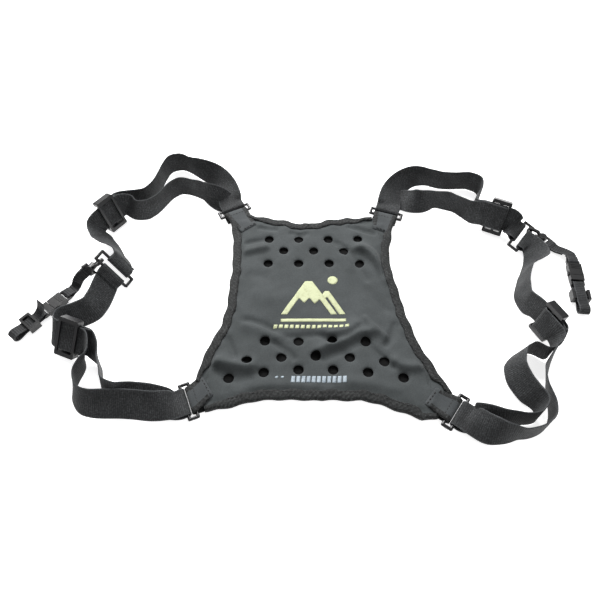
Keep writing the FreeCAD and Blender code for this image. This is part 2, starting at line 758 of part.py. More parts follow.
def front_seats():
    left, right = RINGS["left"], RINGS["right"]
    return {
        "upper_left": left,
        "lower_left": Seat(left.origin, left.travel * -1, -42),
        "upper_right": Seat(right.origin, right.travel, 90),
        "lower_right": Seat(right.origin, right.travel * -1, 90),
    }


ROUTES = {
    "upper_left": {
        "ring_side": 1,
        "sewn": [(-193, 125, 15, -12), (-181, 130, 14, -3), (-173, 142, 13, 0),
                 (-168, 158, 13, 0), (-165, 172, 13, 0), (-160, 184, 13, 0),
                 (-148, 188, 13, 0), (-136, 182, 13, 0), (-122, 175, 13, -20),
                 (-107, 166, 12, -45), (-96, 153, 10, -65), (-90, 138, 8, -80)],
        "free": [(-97, 133, 6, 62), (-106, 136, 10, 35), (-116, 140, 13, 10),
                 (-130, 146, 13, 0), (-144, 149, 13, 0), (-155, 140, 13, 0),
                 (-164, 124, 13, 0), (-176, 112, 14, 8), (-187, 111, 15, 14),
                 (-195.5, 116.5, 17, 20)],
        "onward": [(-222, 84, 18, 30), (-215, 73, 16, 50), (-205, 63, 16, 40),
                   (-194, 52, 17, 20)],
    },
    "lower_left": {
        "ring_side": -1,
        "sewn": [(-196, -58, 14, -30), (-189, -70, 13, -5),
                 (-185, -82, 13, -8), (-182, -92, 13, -12), (-172, -100, 13, -28),
                 (-158, -102, 12, -50), (-144, -103, 10.5, -60), (-130, -105, 7, -72)],
        "free": [(-124, -109, 9, 75), (-137, -111, 11.5, 60), (-150, -110, 12, 56),
                 (-164, -109, 12, 56), (-181, -109, 12, 54), (-195, -107, 12, 40),
                 (-205, -97, 13, 20), (-206, -84, 13, 5), (-203, -72, 14, 5),
                 (-202, -62, 16, 25)],
        "onward": [(-237, -33, 14, 10), (-231, -25, 13, -20),
                   (-219, -21, 13, -38), (-208, -14, 13, -45), (-202, 2, 13, -44)],
    },
    "upper_right": {
        "ring_side": 1,
        "sewn": [(167, 107, 16, 15), (160, 115, 14, 5), (153, 122, 13, 0),
                 (145, 126, 13, 5), (133, 128, 13, 0), (119, 127, 11, 25),
                 (107, 132, 6, 60), (97, 137, 3, 78), (88, 135, 2, 85)],
        "free": [(84, 130, 7, -80), (88, 143, 9, -65), (98, 156, 11, -45),
                 (113, 164, 13, -20), (129, 163, 13, 0), (143, 158, 13, 0),
                 (159, 157, 13, 0), (174, 157, 13, 0), (184, 150, 13, 0),
                 (183, 137, 13, 0), (177, 127, 14, 0), (171, 118, 15, -5),
                 (171, 110, 16, -15)],
        "onward": [(207.5, 90, 15, -60)],
    },
    "lower_right": {
        "ring_side": 1,
        "sewn": [(213, -56, 16, 172), (205, -62, 14, 176), (195, -56, 13, 175),
                 (182, -60, 13, 165), (175, -71, 13, 150), (175, -85, 13, 145),
                 (181, -99, 13, 150), (188, -110, 13, 165), (184, -120, 13, 180),
                 (170, -123, 13, 180), (156, -122, 13, 190), (147, -121, 10, 215),
                 (137, -119, 5.5, 242)],
        "free": [(131, -123, 9, -75), (141, -131, 11, -55), (152, -135, 13, -25),
                 (166, -136, 13, 0), (181, -133, 13, 0), (193, -124, 13, 0),
                 (197, -111, 13, -5), (197, -96, 13, -15), (200, -80, 13, -20),
                 (208, -66, 14, -10)],
        "onward": [(200, -8, 15, 15), (199, 6, 13, 20), (203, 20, 13, 15),
                   (210, 34, 13, 15), (219, 44, 12, 35), (225.5, 54, 9.5, 60),
                   (226.5, 65, 7.5, 80)],
    },
}
STRAP_NAMES = {
    "upper_left": "shoulder_strap_left", "upper_right": "shoulder_strap_right",
    "lower_left": "underarm_strap_left", "lower_right": "underarm_strap_right",
}


def build_sides():
    fronts = front_seats()
    for corner, seat in CORNERS.items():
        middle = seat.at(-S["corner_ring_pitch"] / 2, 0)
        tab_bar = seat.at(-S["corner_ring_pitch"], 0)
        across = V(-seat.travel.y, seat.travel.x, 0)
        build_ring("corner_ring_" + corner, "corner_ring_long", "corner_ring_pitch",
                   placement(middle, seat.travel, across))
        build_fold("corner_fold_" + corner, placement(tab_bar, seat.travel, across))
        build_slider("strap_slider_" + corner, SLIDERS[corner])
        route = ROUTES[corner]
        strap(STRAP_NAMES[corner], SLIDERS[corner], route["sewn"], seat,
              route["ring_side"], route["free"], route["onward"], fronts[corner])
    for side, seat in RINGS.items():
        build_ring("front_ring_" + side, "front_ring_long", "front_ring_pitch",
                   placement(seat.origin, seat.travel, seat.width * -1))


def build_connectors():
    build_connector("left", RINGS["left"], V(-0.74, 0.145, -0.66), 0,
                    V(-0.57, -0.75, -0.45), ((-238, 7, 6), (-0.62, -0.78, 0), (0, 0, 1)), LEFT_TAIL)
    build_connector("right", RINGS["right"], V(0.78, -0.62, 0), 12,
                    V(0.7, -0.7, 0), ((261, 47, 6), (-0.1, -1, 0), (0, 0, -1)), RIGHT_TAIL)


LEFT_TAIL = [(30, 3.8, 0), (27, 7, 0), (24, 14, 0)]
RIGHT_TAIL = [(30, 3.8, 0), (25, 4.8, 0), (16, 5, 0)]


# ---------------------------------------------------------------- build and save
build_panel()
build_sides()
build_connectors()
doc.recompute()

for item in doc.Objects:
    if "Invalid" in item.State or "Error" in item.State:
        raise SystemExit("failed: %s %s" % (item.Name, item.State))
os.makedirs("parts", exist_ok=True)
for label, item in NODES.items():
    shape = item.Shape
    if shape.isNull() or not shape.isValid():
        raise SystemExit("bad shape: " + label)
    solids = len(shape.Solids)
    print("%-28s solids %d volume %9.1f  z %6.2f..%6.2f" % (
        label, solids, shape.Volume, shape.BoundBox.ZMin, shape.BoundBox.ZMax))
    shape.exportStep("parts/" + label + ".step")
for label, place in JOINTS.items():
    base, rot = place.Base, place.Rotation
    print(label, [round(v, 3) for v in base], [round(v, 4) for v in rot.multVec(V(1, 0, 0))],
          [round(v, 4) for v in rot.multVec(V(0, 1, 0))],
          [round(v, 4) for v in rot.multVec(V(0, 0, 1))])
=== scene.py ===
"""Binocular harness laid out on a pale table: soft goods, webbing, moulded parts and studio."""
import json
import math

import bpy
import numpy as np
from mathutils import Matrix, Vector
from mathutils.geometry import delaunay_2d_cdt


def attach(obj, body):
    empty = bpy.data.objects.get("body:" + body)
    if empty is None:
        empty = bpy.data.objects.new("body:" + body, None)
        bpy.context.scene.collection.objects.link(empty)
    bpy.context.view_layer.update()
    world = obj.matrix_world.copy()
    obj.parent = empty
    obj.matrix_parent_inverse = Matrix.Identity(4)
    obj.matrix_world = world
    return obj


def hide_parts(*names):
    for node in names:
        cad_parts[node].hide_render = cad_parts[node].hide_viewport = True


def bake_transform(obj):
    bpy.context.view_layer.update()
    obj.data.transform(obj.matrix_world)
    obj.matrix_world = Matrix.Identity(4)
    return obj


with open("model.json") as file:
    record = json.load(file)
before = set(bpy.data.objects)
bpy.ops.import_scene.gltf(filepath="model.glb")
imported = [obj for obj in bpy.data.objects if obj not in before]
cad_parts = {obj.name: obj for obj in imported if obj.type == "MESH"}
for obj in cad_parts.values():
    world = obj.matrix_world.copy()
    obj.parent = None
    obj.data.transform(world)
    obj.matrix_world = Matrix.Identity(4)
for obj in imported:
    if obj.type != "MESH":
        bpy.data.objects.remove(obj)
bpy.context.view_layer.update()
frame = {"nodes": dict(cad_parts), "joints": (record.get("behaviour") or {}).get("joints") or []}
nodes = frame["nodes"]

MM = 0.001
SIDES = ("left", "right")
SQUEEZE_START = 6.5     # mm from the panel edge where the layers are pressed flat
SQUEEZE_WIDTH = 6.0     # mm over which they reach their full thickness
BINDING_WIDE = 9.0      # mm of tape on each face
HOLE_RADIUS = 4.75      # mm
GRID = 2.0              # mm between the panel's inner points
COARSE_GRID = 4.0       # mm between the inner points of the plain back
EDGE_STEP = 1.6         # mm between the points of the panel's outline
FLAT_WITHIN = 0.02      # mm of height that a flat CAD face may differ by
LAYER_INSET = 1.2       # mm that the layers stop inside the binding's fold
CLOTH_THICK = 0.8       # mm, the front cloth
FOAM_BELOW = 0.85       # mm from the front face down to the foam
INK_ABOVE = 0.14        # mm of the print above the cloth
INK_BELOW = 0.1         # mm of the print sunk into the cloth
STITCH_HEIGHT = 5.35    # mm, binding stitches over the table
STRAP_WIDE, STRAP_THICK = 25.4, 1.4      # mm
NARROW_WIDE, NARROW_THICK = 10.0, 1.2    # mm
NARROW_STEP = 0.9       # mm between the narrow tapes' sections
BAR_HEIGHT = 3.6        # mm, axis of the corner ring bars
WRAP_RADIUS = 2.9       # mm, outside of the tab over and under its ring bar
WRAP_BULGE = 4.1        # mm that the slack fold reaches out towards the strap
LAYER_PAST_FOLD = 3.5   # mm that the panel layers reach past the fold line
CORNER_OVERLAP = 3.0    # mm that the corner pieces reach back under the front cloth
CORNER_BELOW = 0.3      # mm that the corner pieces lie below the front cloth's face
TAB_FACE = 6.2          # mm, height of the CAD tabs' top face
TAB_HALF = 12.6         # mm, half the tab's width at the ring, its edge tapes included

# camera, metres
CAMERA_AT = (-0.013, -0.3046, 0.4422)
LOOK_AT = (-0.013, 0.005, 0.0)
LENS = 33.36


# --- mesh helpers
def make_object(name, points, faces, coords=None):
    """A mesh object from points in mm; coords gives one (u, v) for each point."""
    mesh = bpy.data.meshes.new(name)
    mesh.from_pydata([tuple(float(c) * MM for c in p) for p in points], [], faces)
    mesh.update()
    if coords is not None:
        layer = mesh.uv_layers.new(name="cloth")
        for loop in mesh.loops:
            u, v = coords[loop.vertex_index]
            layer.data[loop.index].uv = (u, v)
    mesh.polygons.foreach_set("use_smooth", [True] * len(mesh.polygons))
    piece = bpy.data.objects.new(name, mesh)
    bpy.context.scene.collection.objects.link(piece)
    return piece


def welded(node):
    """A CAD node's separate corners joined: points in mm and faces."""
    mesh = nodes[node].data
    place, points, corner = {}, [], []
    for vertex in mesh.vertices:
        key = tuple(round(c * 1e5) for c in vertex.co)
        if key not in place:
            place[key] = len(points)
            points.append(np.array(vertex.co) / MM)
        corner.append(place[key])
    faces = [[corner[i] for i in face.vertices] for face in mesh.polygons]
    return points, faces


def flat_loops(node, height):
    """The closed outlines of a node's flat faces at a height, as lists of (x, y) in mm."""
    points, faces = welded(node)
    level = [face for face in faces
             if all(abs(points[i][2] - height) <= FLAT_WITHIN for i in face)]
    follow = dict(open_edges(level).keys())
    loops = []
    while follow:
        start, here = follow.popitem()
        loop = [start]
        while here != start and here in follow:
            loop.append(here)
            here = follow.pop(here)
        loops.append(np.array([points[i][:2] for i in loop]))
    return sorted(loops, key=lambda loop: -np.ptp(loop[:, 0]))


def sides_of(face):
    """A face's corners in pairs, one pair for each side."""
    return zip(face, face[1:] + face[:1])


def open_edges(faces):
    """The directed edges that only one face has, in order."""
    edges = {}
    for face in faces:
        for a, b in sides_of(face):
            if (b, a) in edges:
                del edges[(b, a)]
            else:
                edges[(a, b)] = True
    return edges


def lengths_along(line):
    """Distance from the start to each point of an open line."""
    return np.concatenate([[0], np.cumsum(np.linalg.norm(np.diff(line, axis=0), axis=1))])


def tube_faces(rows, ring):
    """Four-sided faces between rings of points, and the two end faces."""
    sides = []
    for k in range(rows - 1):
        for j in range(ring):
            a, b = k * ring + j, k * ring + (j + 1) % ring
            sides.append([a, b, b + ring, a + ring])
    ends = [list(range(ring))[::-1], [(rows - 1) * ring + j for j in range(ring)]]
    return sides, ends


def closed_line(loop):
    """An outline with its first point again at the end."""
    return np.vstack([loop, loop[:1]])


def resample(loop, step):
    """Even points along a closed outline."""
    closed = closed_line(loop)
    lengths = np.hypot(*np.diff(closed, axis=0).T)
    along = np.concatenate([[0], np.cumsum(lengths)])
    count = int(round(along[-1] / step))
    spots = np.linspace(0, along[-1], count, endpoint=False)
    return np.column_stack([np.interp(spots, along, closed[:, k]) for k in (0, 1)])


def outward(loop):
    """Unit normals of a closed counter-clockwise outline, pointing out."""
    run = np.roll(loop, -1, axis=0) - np.roll(loop, 1, axis=0)
    run /= np.hypot(run[:, 0], run[:, 1])[:, None]
    return np.column_stack([run[:, 1], -run[:, 0]])


def segment_distance(xy, line):
    """Distance from points to an open line of points, with side and place along it."""
    a, b = line[:-1], line[1:]
    best = np.full(len(xy), 1e9)
    side = np.zeros(len(xy))
    along = np.zeros(len(xy))
    lengths = np.hypot(*(b - a).T)
    starts = np.concatenate([[0], np.cumsum(lengths)])[:-1]
    total = lengths.sum()
    for p, q, start, length in zip(a, b, starts, lengths):
        d = q - p
        t = np.clip(((xy - p) @ d) / (d @ d), 0, 1)
        off = xy - (p + t[:, None] * d)
        dist = np.hypot(off[:, 0], off[:, 1])
        closer = dist < best
        best = np.where(closer, dist, best)
        turn = d[0] * off[:, 1] - d[1] * off[:, 0]
        side = np.where(closer, np.sign(turn), side)
        along = np.where(closer, (start + t * length) / total, along)
    return best, side, along


def ease(value):
    value = np.clip(value, 0, 1)
    return value * value * (3 - 2 * value)


# --- panel outline
FOAM_FACE = 3.8         # mm, height of the CAD foam's top face
foam_top = flat_loops("foam_core", FOAM_FACE)
outline = resample(foam_top[0], EDGE_STEP)
if np.sum(outline[:, 0] * np.roll(outline[:, 1], -1)
          - np.roll(outline[:, 0], -1) * outline[:, 1]) < 0:
    outline = outline[::-1]
edge_line = outline + outward(outline)
hole_centres = np.array([(loop.min(axis=0) + loop.max(axis=0)) / 2 for loop in foam_top[1:]])
closed_edge = closed_line(edge_line)
panel_middle = np.array([0.0, 5.0])

# creases of the soft front: points in mm, height, gentle width, steep width
CREASES = [
    ([(-97, -66), (-84, -67), (-71, -70), (-59, -71), (-48, -70)], 3.4, 8.0, 4.0),
    ([(-93, -71), (-83, -77), (-69, -82), (-53, -78)], -1.3, 4.0, 5.0),
    ([(-83, -36), (-77, -47), (-73, -58), (-69, -67)], -1.5, 2.6, 2.6),
    ([(-70, -20), (-56, -23), (-43, -29), (-33, -36)], -1.3, 4.0, 2.6),
    ([(-70, -27), (-56, -30), (-43, -36), (-26, -43)], 1.3, 3.5, 7.0),
    ([(2, -31), (14, -36), (31, -32), (45, -21)], 2.2, 7.0, 3.6),
    ([(-33, -38), (-15, -40), (4, -38), (14, -43), (31, -40), (43, -29)], -1.2, 3.5, 3.0),
    ([(-40, -43), (-33, -49), (-24, -56), (-16, -65)], -1.7, 3.0, 3.0),
    ([(-2, -62), (10, -51), (24, -46), (37, -38), (52, -35), (62, -35)], 3.0, 6.5, 3.6),
    ([(4, -66), (13, -58), (26, -54), (39, -46), (53, -43)], -1.6, 3.2, 4.0),
    ([(47, -45), (55, -56), (64, -65), (73, -74)], -2.0, 3.0, 3.6),
    ([(66, -62), (75, -69), (86, -72), (100, -70)], 2.6, 7.0, 3.6),
    ([(77, -22), (71, -39), (62, -52)], -1.7, 3.6, 3.0),
    ([(46, -15), (52, -25), (61, -35), (70, -44)], 1.6, 3.0, 4.0),
    ([(18, 77), (30, 68), (38, 56), (47, 36), (56, 22)], -2.2, 3.6, 2.6),
    ([(38, 67), (53, 62), (63, 49), (71, 32), (76, 14)], 4.4, 8.0, 3.8),
    ([(-72, 72), (-59, 76), (-49, 78)], -1.3, 3.0, 3.0),
    ([(-74, 59), (-58, 64), (-43, 68)], 2.2, 6.0, 3.6),
    ([(-24, 90), (-13, 84), (-4, 90)], -1.5, 3.0, 4.0),
    ([(-60, 96), (-45, 93), (-34, 92)], -1.0, 3.0, 3.0),
    ([(36, 98), (52, 91), (68, 85)], -1.7, 3.0, 2.6),
    ([(37, 42), (46, 21), (60, 3), (74, -16)], -1.0, 6.0, 5.0),
    ([(-62, 10), (-40, 4), (-20, 6)], 0.7, 9.0, 9.0),
    ([(-60, -92), (-20, -90), (10, -94)], 0.9, 7.0, 7.0),
    ([(20, -84), (50, -88), (80, -96)], 1.1, 6.0, 5.0),
    ([(-66, 36), (-52, 30), (-40, 30)], -0.7, 6.0, 6.0),
]
FOLD_DEPTH = 1.7        # how strongly all creases stand out
DEEPEST_FOLD = -1.9     # mm
EDGE_HEIGHT = 4.1       # mm, the front face where it is pressed flat
PAD_RISE = 1.0          # mm that it stands higher over the pad
LOWEST_FRONT = 3.0      # mm
RIM_DIP = 0.85          # mm that the cloth sinks at the rim of a hole
RIM_REACH = 1.5         # mm from the rim over which it sinks
CREASE_STEPS = 5        # points from one given point of a crease to the next


def edge_depth(xy):
    """How far inside the panel's edge each point is, in mm."""
    return segment_distance(xy, closed_edge)[0]


def edge_puckers(depth, along):
    """Small gathers that the binding's seam draws in the cloth beside it."""
    ripple = np.sin(along * 2 * math.pi * 57) + 0.6 * np.sin(along * 2 * math.pi * 34 + 1.0)
    return 0.32 * ripple * np.exp(-((depth - 9.5) / 4.0) ** 2)


def front_height(xy):
    """Height of the soft front face over the table, in mm."""
    xy = np.atleast_2d(xy)
    depth, _, round_edge = segment_distance(xy, closed_edge)
    full = ease((depth - SQUEEZE_START) / SQUEEZE_WIDTH)
    height = EDGE_HEIGHT + full * PAD_RISE + edge_puckers(depth, round_edge)
    folds = np.zeros(len(xy))
    for points, rise, gentle, steep in CREASES:
        line = smooth_line(np.array(points, float))
        dist, side, along = segment_distance(xy, line)
        width = np.where(side >= 0, gentle, steep)
        fade = ease(np.minimum(along, 1 - along) * 5 + 0.15)
        folds += FOLD_DEPTH * rise * np.exp(-(dist / width) ** 2) * fade
    x, y = xy[:, 0], xy[:, 1]
    folds += 0.22 * np.sin(x / 9.3 + 1.3 * np.sin(y / 13.1)) * np.sin(y / 8.1 + 0.7)
    folds += 0.12 * np.sin(x / 4.1 - y / 6.3 + 0.5) * np.sin(y / 3.7 + x / 11.0)
    room = ease((depth - 7.0) / 8.0)
    dips = np.zeros(len(xy))
    for centre in hole_centres:
        reach = np.hypot(*(xy - centre).T) - HOLE_RADIUS
        dips += RIM_DIP * np.exp(-(np.maximum(reach, 0) / RIM_REACH) ** 2)
    height = height + np.maximum(folds, DEEPEST_FOLD) * room - dips * full
    return np.maximum(height, LOWEST_FRONT)


def smooth_line(points):
    """A rounded line through the points (Catmull-Rom)."""
    before = np.vstack([2 * points[0] - points[1], points, 2 * points[-1] - points[-2]])
    out = []
    for i in range(1, len(before) - 2):
        p0, p1, p2, p3 = before[i - 1:i + 3]
        for t in np.linspace(0, 1, CREASE_STEPS, endpoint=False):
            out.append(0.5 * (2 * p1 + (p2 - p0) * t + (2 * p0 - 5 * p1 + 4 * p2 - p3) * t * t
                              + (3 * p1 - p0 - 3 * p2 + p3) * t ** 3))
    out.append(points[-1])
    return np.array(out)


def inside(xy, loop):
    """Which points lie inside a closed outline."""
    hit = np.zeros(len(xy), bool)
    x, y = xy[:, 0], xy[:, 1]
    for (x1, y1), (x2, y2) in zip(loop, np.roll(loop, -1, axis=0)):
        crosses = (y1 > y) != (y2 > y)
        with np.errstate(divide="ignore", invalid="ignore"):
            at = (x2 - x1) * (y - y1) / (y2 - y1) + x1
        hit ^= crosses & (x < at)
    return hit


def circle(centre, radius, count=20):
    turn = np.arange(count) * 2 * math.pi / count
    return centre + radius * np.column_stack([np.cos(turn), np.sin(turn)])


def cover(loop, holes, step):
    """Triangles that fill an outline: flat points and faces."""
    loops = [loop] + [circle(c, r) for c, r in holes]
    rims = [circle(c, r + 1.0) for c, r in holes] + [circle(c, r + 2.2) for c, r in holes]
    low, high = loop.min(axis=0), loop.max(axis=0)
    grid = []
    row = 0
    y = low[1]
    while y < high[1]:
        shift = step / 2 if row % 2 else 0
        grid += [(x + shift, y) for x in np.arange(low[0], high[0], step)]
        y += step * 0.866
        row += 1
    grid = np.array(grid)
    grid = grid[inside(grid, loop)]
    near = segment_distance(grid, closed_line(loop))[0] > step * 0.6
    for centre, radius in holes:
        near &= np.hypot(*(grid - centre).T) > radius + 2.2 + step * 0.5
    points = [tuple(p) for part in loops for p in part]
    edges = []
    start = 0
    for part in loops:
        edges += [(start + k, start + (k + 1) % len(part)) for k in range(len(part))]
        start += len(part)
    points += [tuple(p) for part in rims for p in part] + [tuple(p) for p in grid[near]]
    result = delaunay_2d_cdt([Vector(p) for p in points], edges, [], 1, 1e-4)
    spots = np.array([tuple(p) for p in result[0]])
    faces = [list(face) for face in result[2]]
    middles = np.array([spots[face].mean(axis=0) for face in faces])
    keep = inside(middles, loop)
    for centre, radius in holes:
        keep &= np.hypot(*(middles - centre).T) > radius * 0.985
    return spots, [face for face, kept in zip(faces, keep) if kept]


def closed_faces(faces, count):
    """A flat layer's faces, the same faces one count of points on, turned, and the rim."""
    return (list(faces) + [[i + count for i in reversed(face)] for face in faces]
            + [[b, a, a + count, b + count] for a, b in open_edges(faces)])


def slab(name, flat, top, bottom):
    """A closed layer between two heights over flat points and faces."""
    spots, faces = flat
    used = sorted({i for face in faces for i in face})
    index = {old: new for new, old in enumerate(used)}
    spots = spots[used]
    faces = [[index[i] for i in face] for face in faces]
    count = len(spots)
    high, low = top(spots), bottom(spots)
    points = [(x, y, z) for (x, y), z in zip(spots, high)]
    points += [(x, y, z) for (x, y), z in zip(spots, low)]
    return make_object(name, points, closed_faces(faces, count))


# --- materials
WAVE_SCALE = 0.31416    # a wave texture's scale that sets its bands one unit apart


def fill(tree, node, inputs):
    """Gives a node's inputs: a socket is linked, anything else is set."""
    for name, value in inputs.items():
        if isinstance(value, bpy.types.NodeSocket):
            tree.links.new(value, node.inputs[name])
        else:
            node.inputs[name].default_value = value
    return node


def ramp(tree, source, stops):
    """Colours along a value: stops are (place, colour)."""
    node = fill(tree, tree.nodes.new("ShaderNodeValToRGB"), {"Fac": source})
    elements = node.color_ramp.elements
    while len(elements) < len(stops):
        elements.new(0.5)
    for element, (place, colour) in zip(elements, stops):
        element.position = place
        element.color = (*colour, 1)
    return node.outputs["Color"]


def grey(value):
    return (value, value, value)


def new_material(name, kind="Object"):
    """A material, its node tree, its main shader and its coordinates of one kind."""
    material = bpy.data.materials.new(name)
    material.use_nodes = True
    tree = material.node_tree
    coords = tree.nodes.new("ShaderNodeTexCoord").outputs[kind]
    return material, tree, tree.nodes["Principled BSDF"], coords


def mix(tree, blend, a, b, share):
    """Two colours mixed; b may be a plain colour."""
    node = tree.nodes.new("ShaderNodeMix")
    node.data_type = "RGBA"
    node.blend_type = blend
    one, two = [socket for socket in node.inputs if socket.type == "RGBA"]
    tree.links.new(a, one)
    if isinstance(b, bpy.types.NodeSocket):
        tree.links.new(b, two)
    else:
        two.default_value = (*b, 1)
    fill(tree, node, {"Factor": share})
    return [socket for socket in node.outputs if socket.type == "RGBA"][0]


def math_node(tree, operation, a, b):
    node = tree.nodes.new("ShaderNodeMath")
    node.operation = operation
    fill(tree, node, {0: a, 1: b})
    return node.outputs[0]


def noise(tree, coords, scale, detail=3.0, rough=0.55):
    node = tree.nodes.new("ShaderNodeTexNoise")
    fill(tree, node, {"Vector": coords, "Scale": scale, "Detail": detail, "Roughness": rough})
    return node.outputs["Fac"]


def wave(tree, coords, period, direction, distortion):
    """Bands one period apart, in the units of the coordinates."""
    node = tree.nodes.new("ShaderNodeTexWave")
    node.bands_direction = direction
    fill(tree, node, {"Vector": coords, "Scale": WAVE_SCALE / period,
                      "Distortion": distortion, "Detail": 1.0})
    return node.outputs["Fac"]


def bump(tree, height, strength, distance, under=None):
    node = tree.nodes.new("ShaderNodeBump")
    fill(tree, node, {"Strength": strength, "Distance": distance, "Height": height})
    if under is not None:
        tree.links.new(under, node.inputs["Normal"])
    return node.outputs["Normal"]


def crossed(tree, coords, period):
    """Threads over and under each other in both directions."""
    return math_node(tree, "MULTIPLY", wave(tree, coords, period, "X", 0.6),
                     wave(tree, coords, period, "Y", 0.6))


def cells_of(tree, coords, scale, randomness=1.0):
    """Distance to the nearest of many small cells."""
    node = tree.nodes.new("ShaderNodeTexVoronoi")
    fill(tree, node, {"Vector": coords, "Scale": scale, "Randomness": randomness})
    return node.outputs["Distance"]


def surface(tree, shader, colour, relief, pattern, low, high):
    """Colour, relief and a roughness that follows a pattern from low to high."""
    spread = fill(tree, tree.nodes.new("ShaderNodeMapRange"),
                  {"Value": pattern, "To Min": low, "To Max": high})
    fill(tree, shader, {"Roughness": spread.outputs["Result"], "Base Color": colour,
                        "Normal": relief})


def fibrous(tree, shader, specular, sheen, spread):
    """The plain settings of a cloth: specular level, sheen and the sheen's roughness."""
    fill(tree, shader, {"Specular IOR Level": specular, "Sheen Weight": sheen,
                        "Sheen Roughness": spread})


def cloth_material(name, dark, light, kind="Object", period=0.0009, rough=0.8,
                   sheen=0.08, weave_depth=0.35):
    """Plain-woven nylon: crossed threads, soft blotches, fine lint."""
    material, tree, shader, coords = new_material(name, kind)
    weave = crossed(tree, coords, period)
    blotch = noise(tree, coords, 38.0, 4.0)
    lint = noise(tree, coords, 900.0, 2.0)
    tone = ramp(tree, blotch, [(0.3, dark), (0.7, light)])
    threads = ramp(tree, weave, [(0.0, grey(0.72)), (1.0, grey(1.0))])
    colour = mix(tree, "MULTIPLY", tone, threads, 0.5)
    fuzz = ramp(tree, lint, [(0.35, grey(0.86)), (0.7, grey(1.12))])
    colour = mix(tree, "MULTIPLY", colour, fuzz, 0.8)
    relief = bump(tree, weave, weave_depth, 0.0002, bump(tree, lint, 0.25, 0.0002))
    surface(tree, shader, colour, relief, blotch, rough - 0.1, rough + 0.1)
    fibrous(tree, shader, 0.25, sheen, 0.5)
    return material


def tape_weave(tree, coords, rib, twill, rib_share):
    """A tape's threads: ribs across it with cords along it, or a slanting twill."""
    ribs = wave(tree, coords, rib, "X", 0.8)
    if twill:
        slant = wave(tree, coords, rib * 1.5, "DIAGONAL", 1.2)
        return math_node(tree, "MAXIMUM", slant, math_node(tree, "MULTIPLY", ribs, 0.55))
    weave = math_node(tree, "MULTIPLY", ribs, wave(tree, coords, rib * 0.8, "Y", 0.8))
    return math_node(tree, "MAXIMUM", weave, math_node(tree, "MULTIPLY", ribs, rib_share))


def painted_edge_highlight(tree, coords, half_width):
    """1 on the two edges of a tape, 0 between them: the mask of a painted highlight."""
    split = fill(tree, tree.nodes.new("ShaderNodeSeparateXYZ"), {0: coords})
    away = math_node(tree, "ABSOLUTE", split.outputs["Y"], 0.0)
    rim = fill(tree, tree.nodes.new("ShaderNodeMapRange"),
               {"Value": away, "From Min": half_width - 0.0014,
                "From Max": half_width - 0.0004})
    return rim.outputs["Result"]


def webbing_material(name, dark, light, half_width, rib=0.0016, twill=False,
                     fleck_share=0.75, rib_share=0.5, fleck_scale=620.0):
    """Woven tape with a painted highlight along both edges. The cloth map runs along the tape
    (u) and across it (v), in metres.
    """
    material, tree, shader, coords = new_material(name, "UV")
    weave = tape_weave(tree, coords, rib, twill, rib_share)
    blotch = noise(tree, coords, 60.0, 4.0)
    lint = noise(tree, coords, 1400.0, 2.0)
    fleck = noise(tree, coords, fleck_scale, 3.0, 0.8)
    colour = ramp(tree, blotch, [(0.3, dark), (0.72, light)])
    for pattern, stops, share in (
            (weave, ((0.0, 0.35), (0.6, 1.0), (1.0, 1.25)), 0.75),
            (lint, ((0.35, 0.7), (0.7, 1.35)), 0.7),
            (fleck, ((0.38, 0.3), (0.5, 1.0), (0.62, 2.4)), fleck_share)):
        shade = ramp(tree, pattern, [(place, grey(value)) for place, value in stops])
        colour = mix(tree, "MULTIPLY", colour, shade, share)
    # painted highlight: both edges of the tape are mixed towards a pale grey, standing in for
    # light catching the edge
    edge = math_node(tree, "MULTIPLY", painted_edge_highlight(tree, coords, half_width), 0.45)
    colour = mix(tree, "MIX", colour, tuple(min(1.0, c * 2.2) for c in light), edge)
    surface(tree, shader, colour, bump(tree, weave, 0.7, 0.0003), lint, 0.62, 0.86)
    fibrous(tree, shader, 0.3, 0.05, 0.4)
    return material


def plastic_material(name, dark, light, rough):
    """Moulded acetal: fine spark texture, faint flow marks and scuffs."""
    material, tree, shader, coords = new_material(name)
    flow = noise(tree, coords, 90.0, 4.0)
    spark = noise(tree, coords, 2600.0, 2.0)
    scuff = noise(tree, coords, 420.0, 6.0, 0.75)
    colour = ramp(tree, flow, [(0.3, dark), (0.75, light)])
    worn = ramp(tree, scuff, [(0.62, grey(0.0)), (0.74, grey(1.0))])
    colour = mix(tree, "MIX", colour, tuple(c * 2.6 + 0.01 for c in light),
                 math_node(tree, "MULTIPLY", worn, 0.35))
    surface(tree, shader, colour, bump(tree, spark, 0.12, 0.0001), scuff,
            rough - 0.1, rough + 0.14)
    return material


def foam_material(name):
    """Cut foam: small dark cells."""
    material, tree, shader, coords = new_material(name)
    cells = cells_of(tree, coords, 1500.0)
    shade = ramp(tree, cells, [(0.0, grey(0.002)), (0.6, grey(0.010))])
    surface(tree, shader, shade, bump(tree, cells, 0.6, 0.0003),
            noise(tree, coords, 300.0), 0.85, 1.0)
    shader.inputs["Specular IOR Level"].default_value = 0.08
    return material


def mesh_material(name):
    """Knitted spacer mesh: rows of small dark eyelets."""
    material, tree, shader, coords = new_material(name)
    cells = cells_of(tree, coords, 520.0, 0.15)
    lint = noise(tree, coords, 1200.0)
    eyelet = ramp(tree, cells, [(0.22, grey(0.001)), (0.42, grey(0.006))])
    fuzz = ramp(tree, lint, [(0.3, grey(0.7)), (0.7, grey(1.3))])
    surface(tree, shader, mix(tree, "MULTIPLY", eyelet, fuzz, 0.8),
            bump(tree, cells, 0.8, 0.0006), lint, 0.7, 0.9)
    shader.inputs["Specular IOR Level"].default_value = 0.08
    return material


def print_material(name, dark, light):
    """Screen print that the cloth's weave shows through."""
    material, tree, shader, coords = new_material(name)
    patchy = noise(tree, coords, 260.0, 5.0, 0.7)
    colour = ramp(tree, patchy, [(0.28, dark), (0.5, light)])
    surface(tree, shader, colour, bump(tree, crossed(tree, coords, 0.0009), 0.3, 0.0002),
            patchy, 0.5, 0.7)
    return material


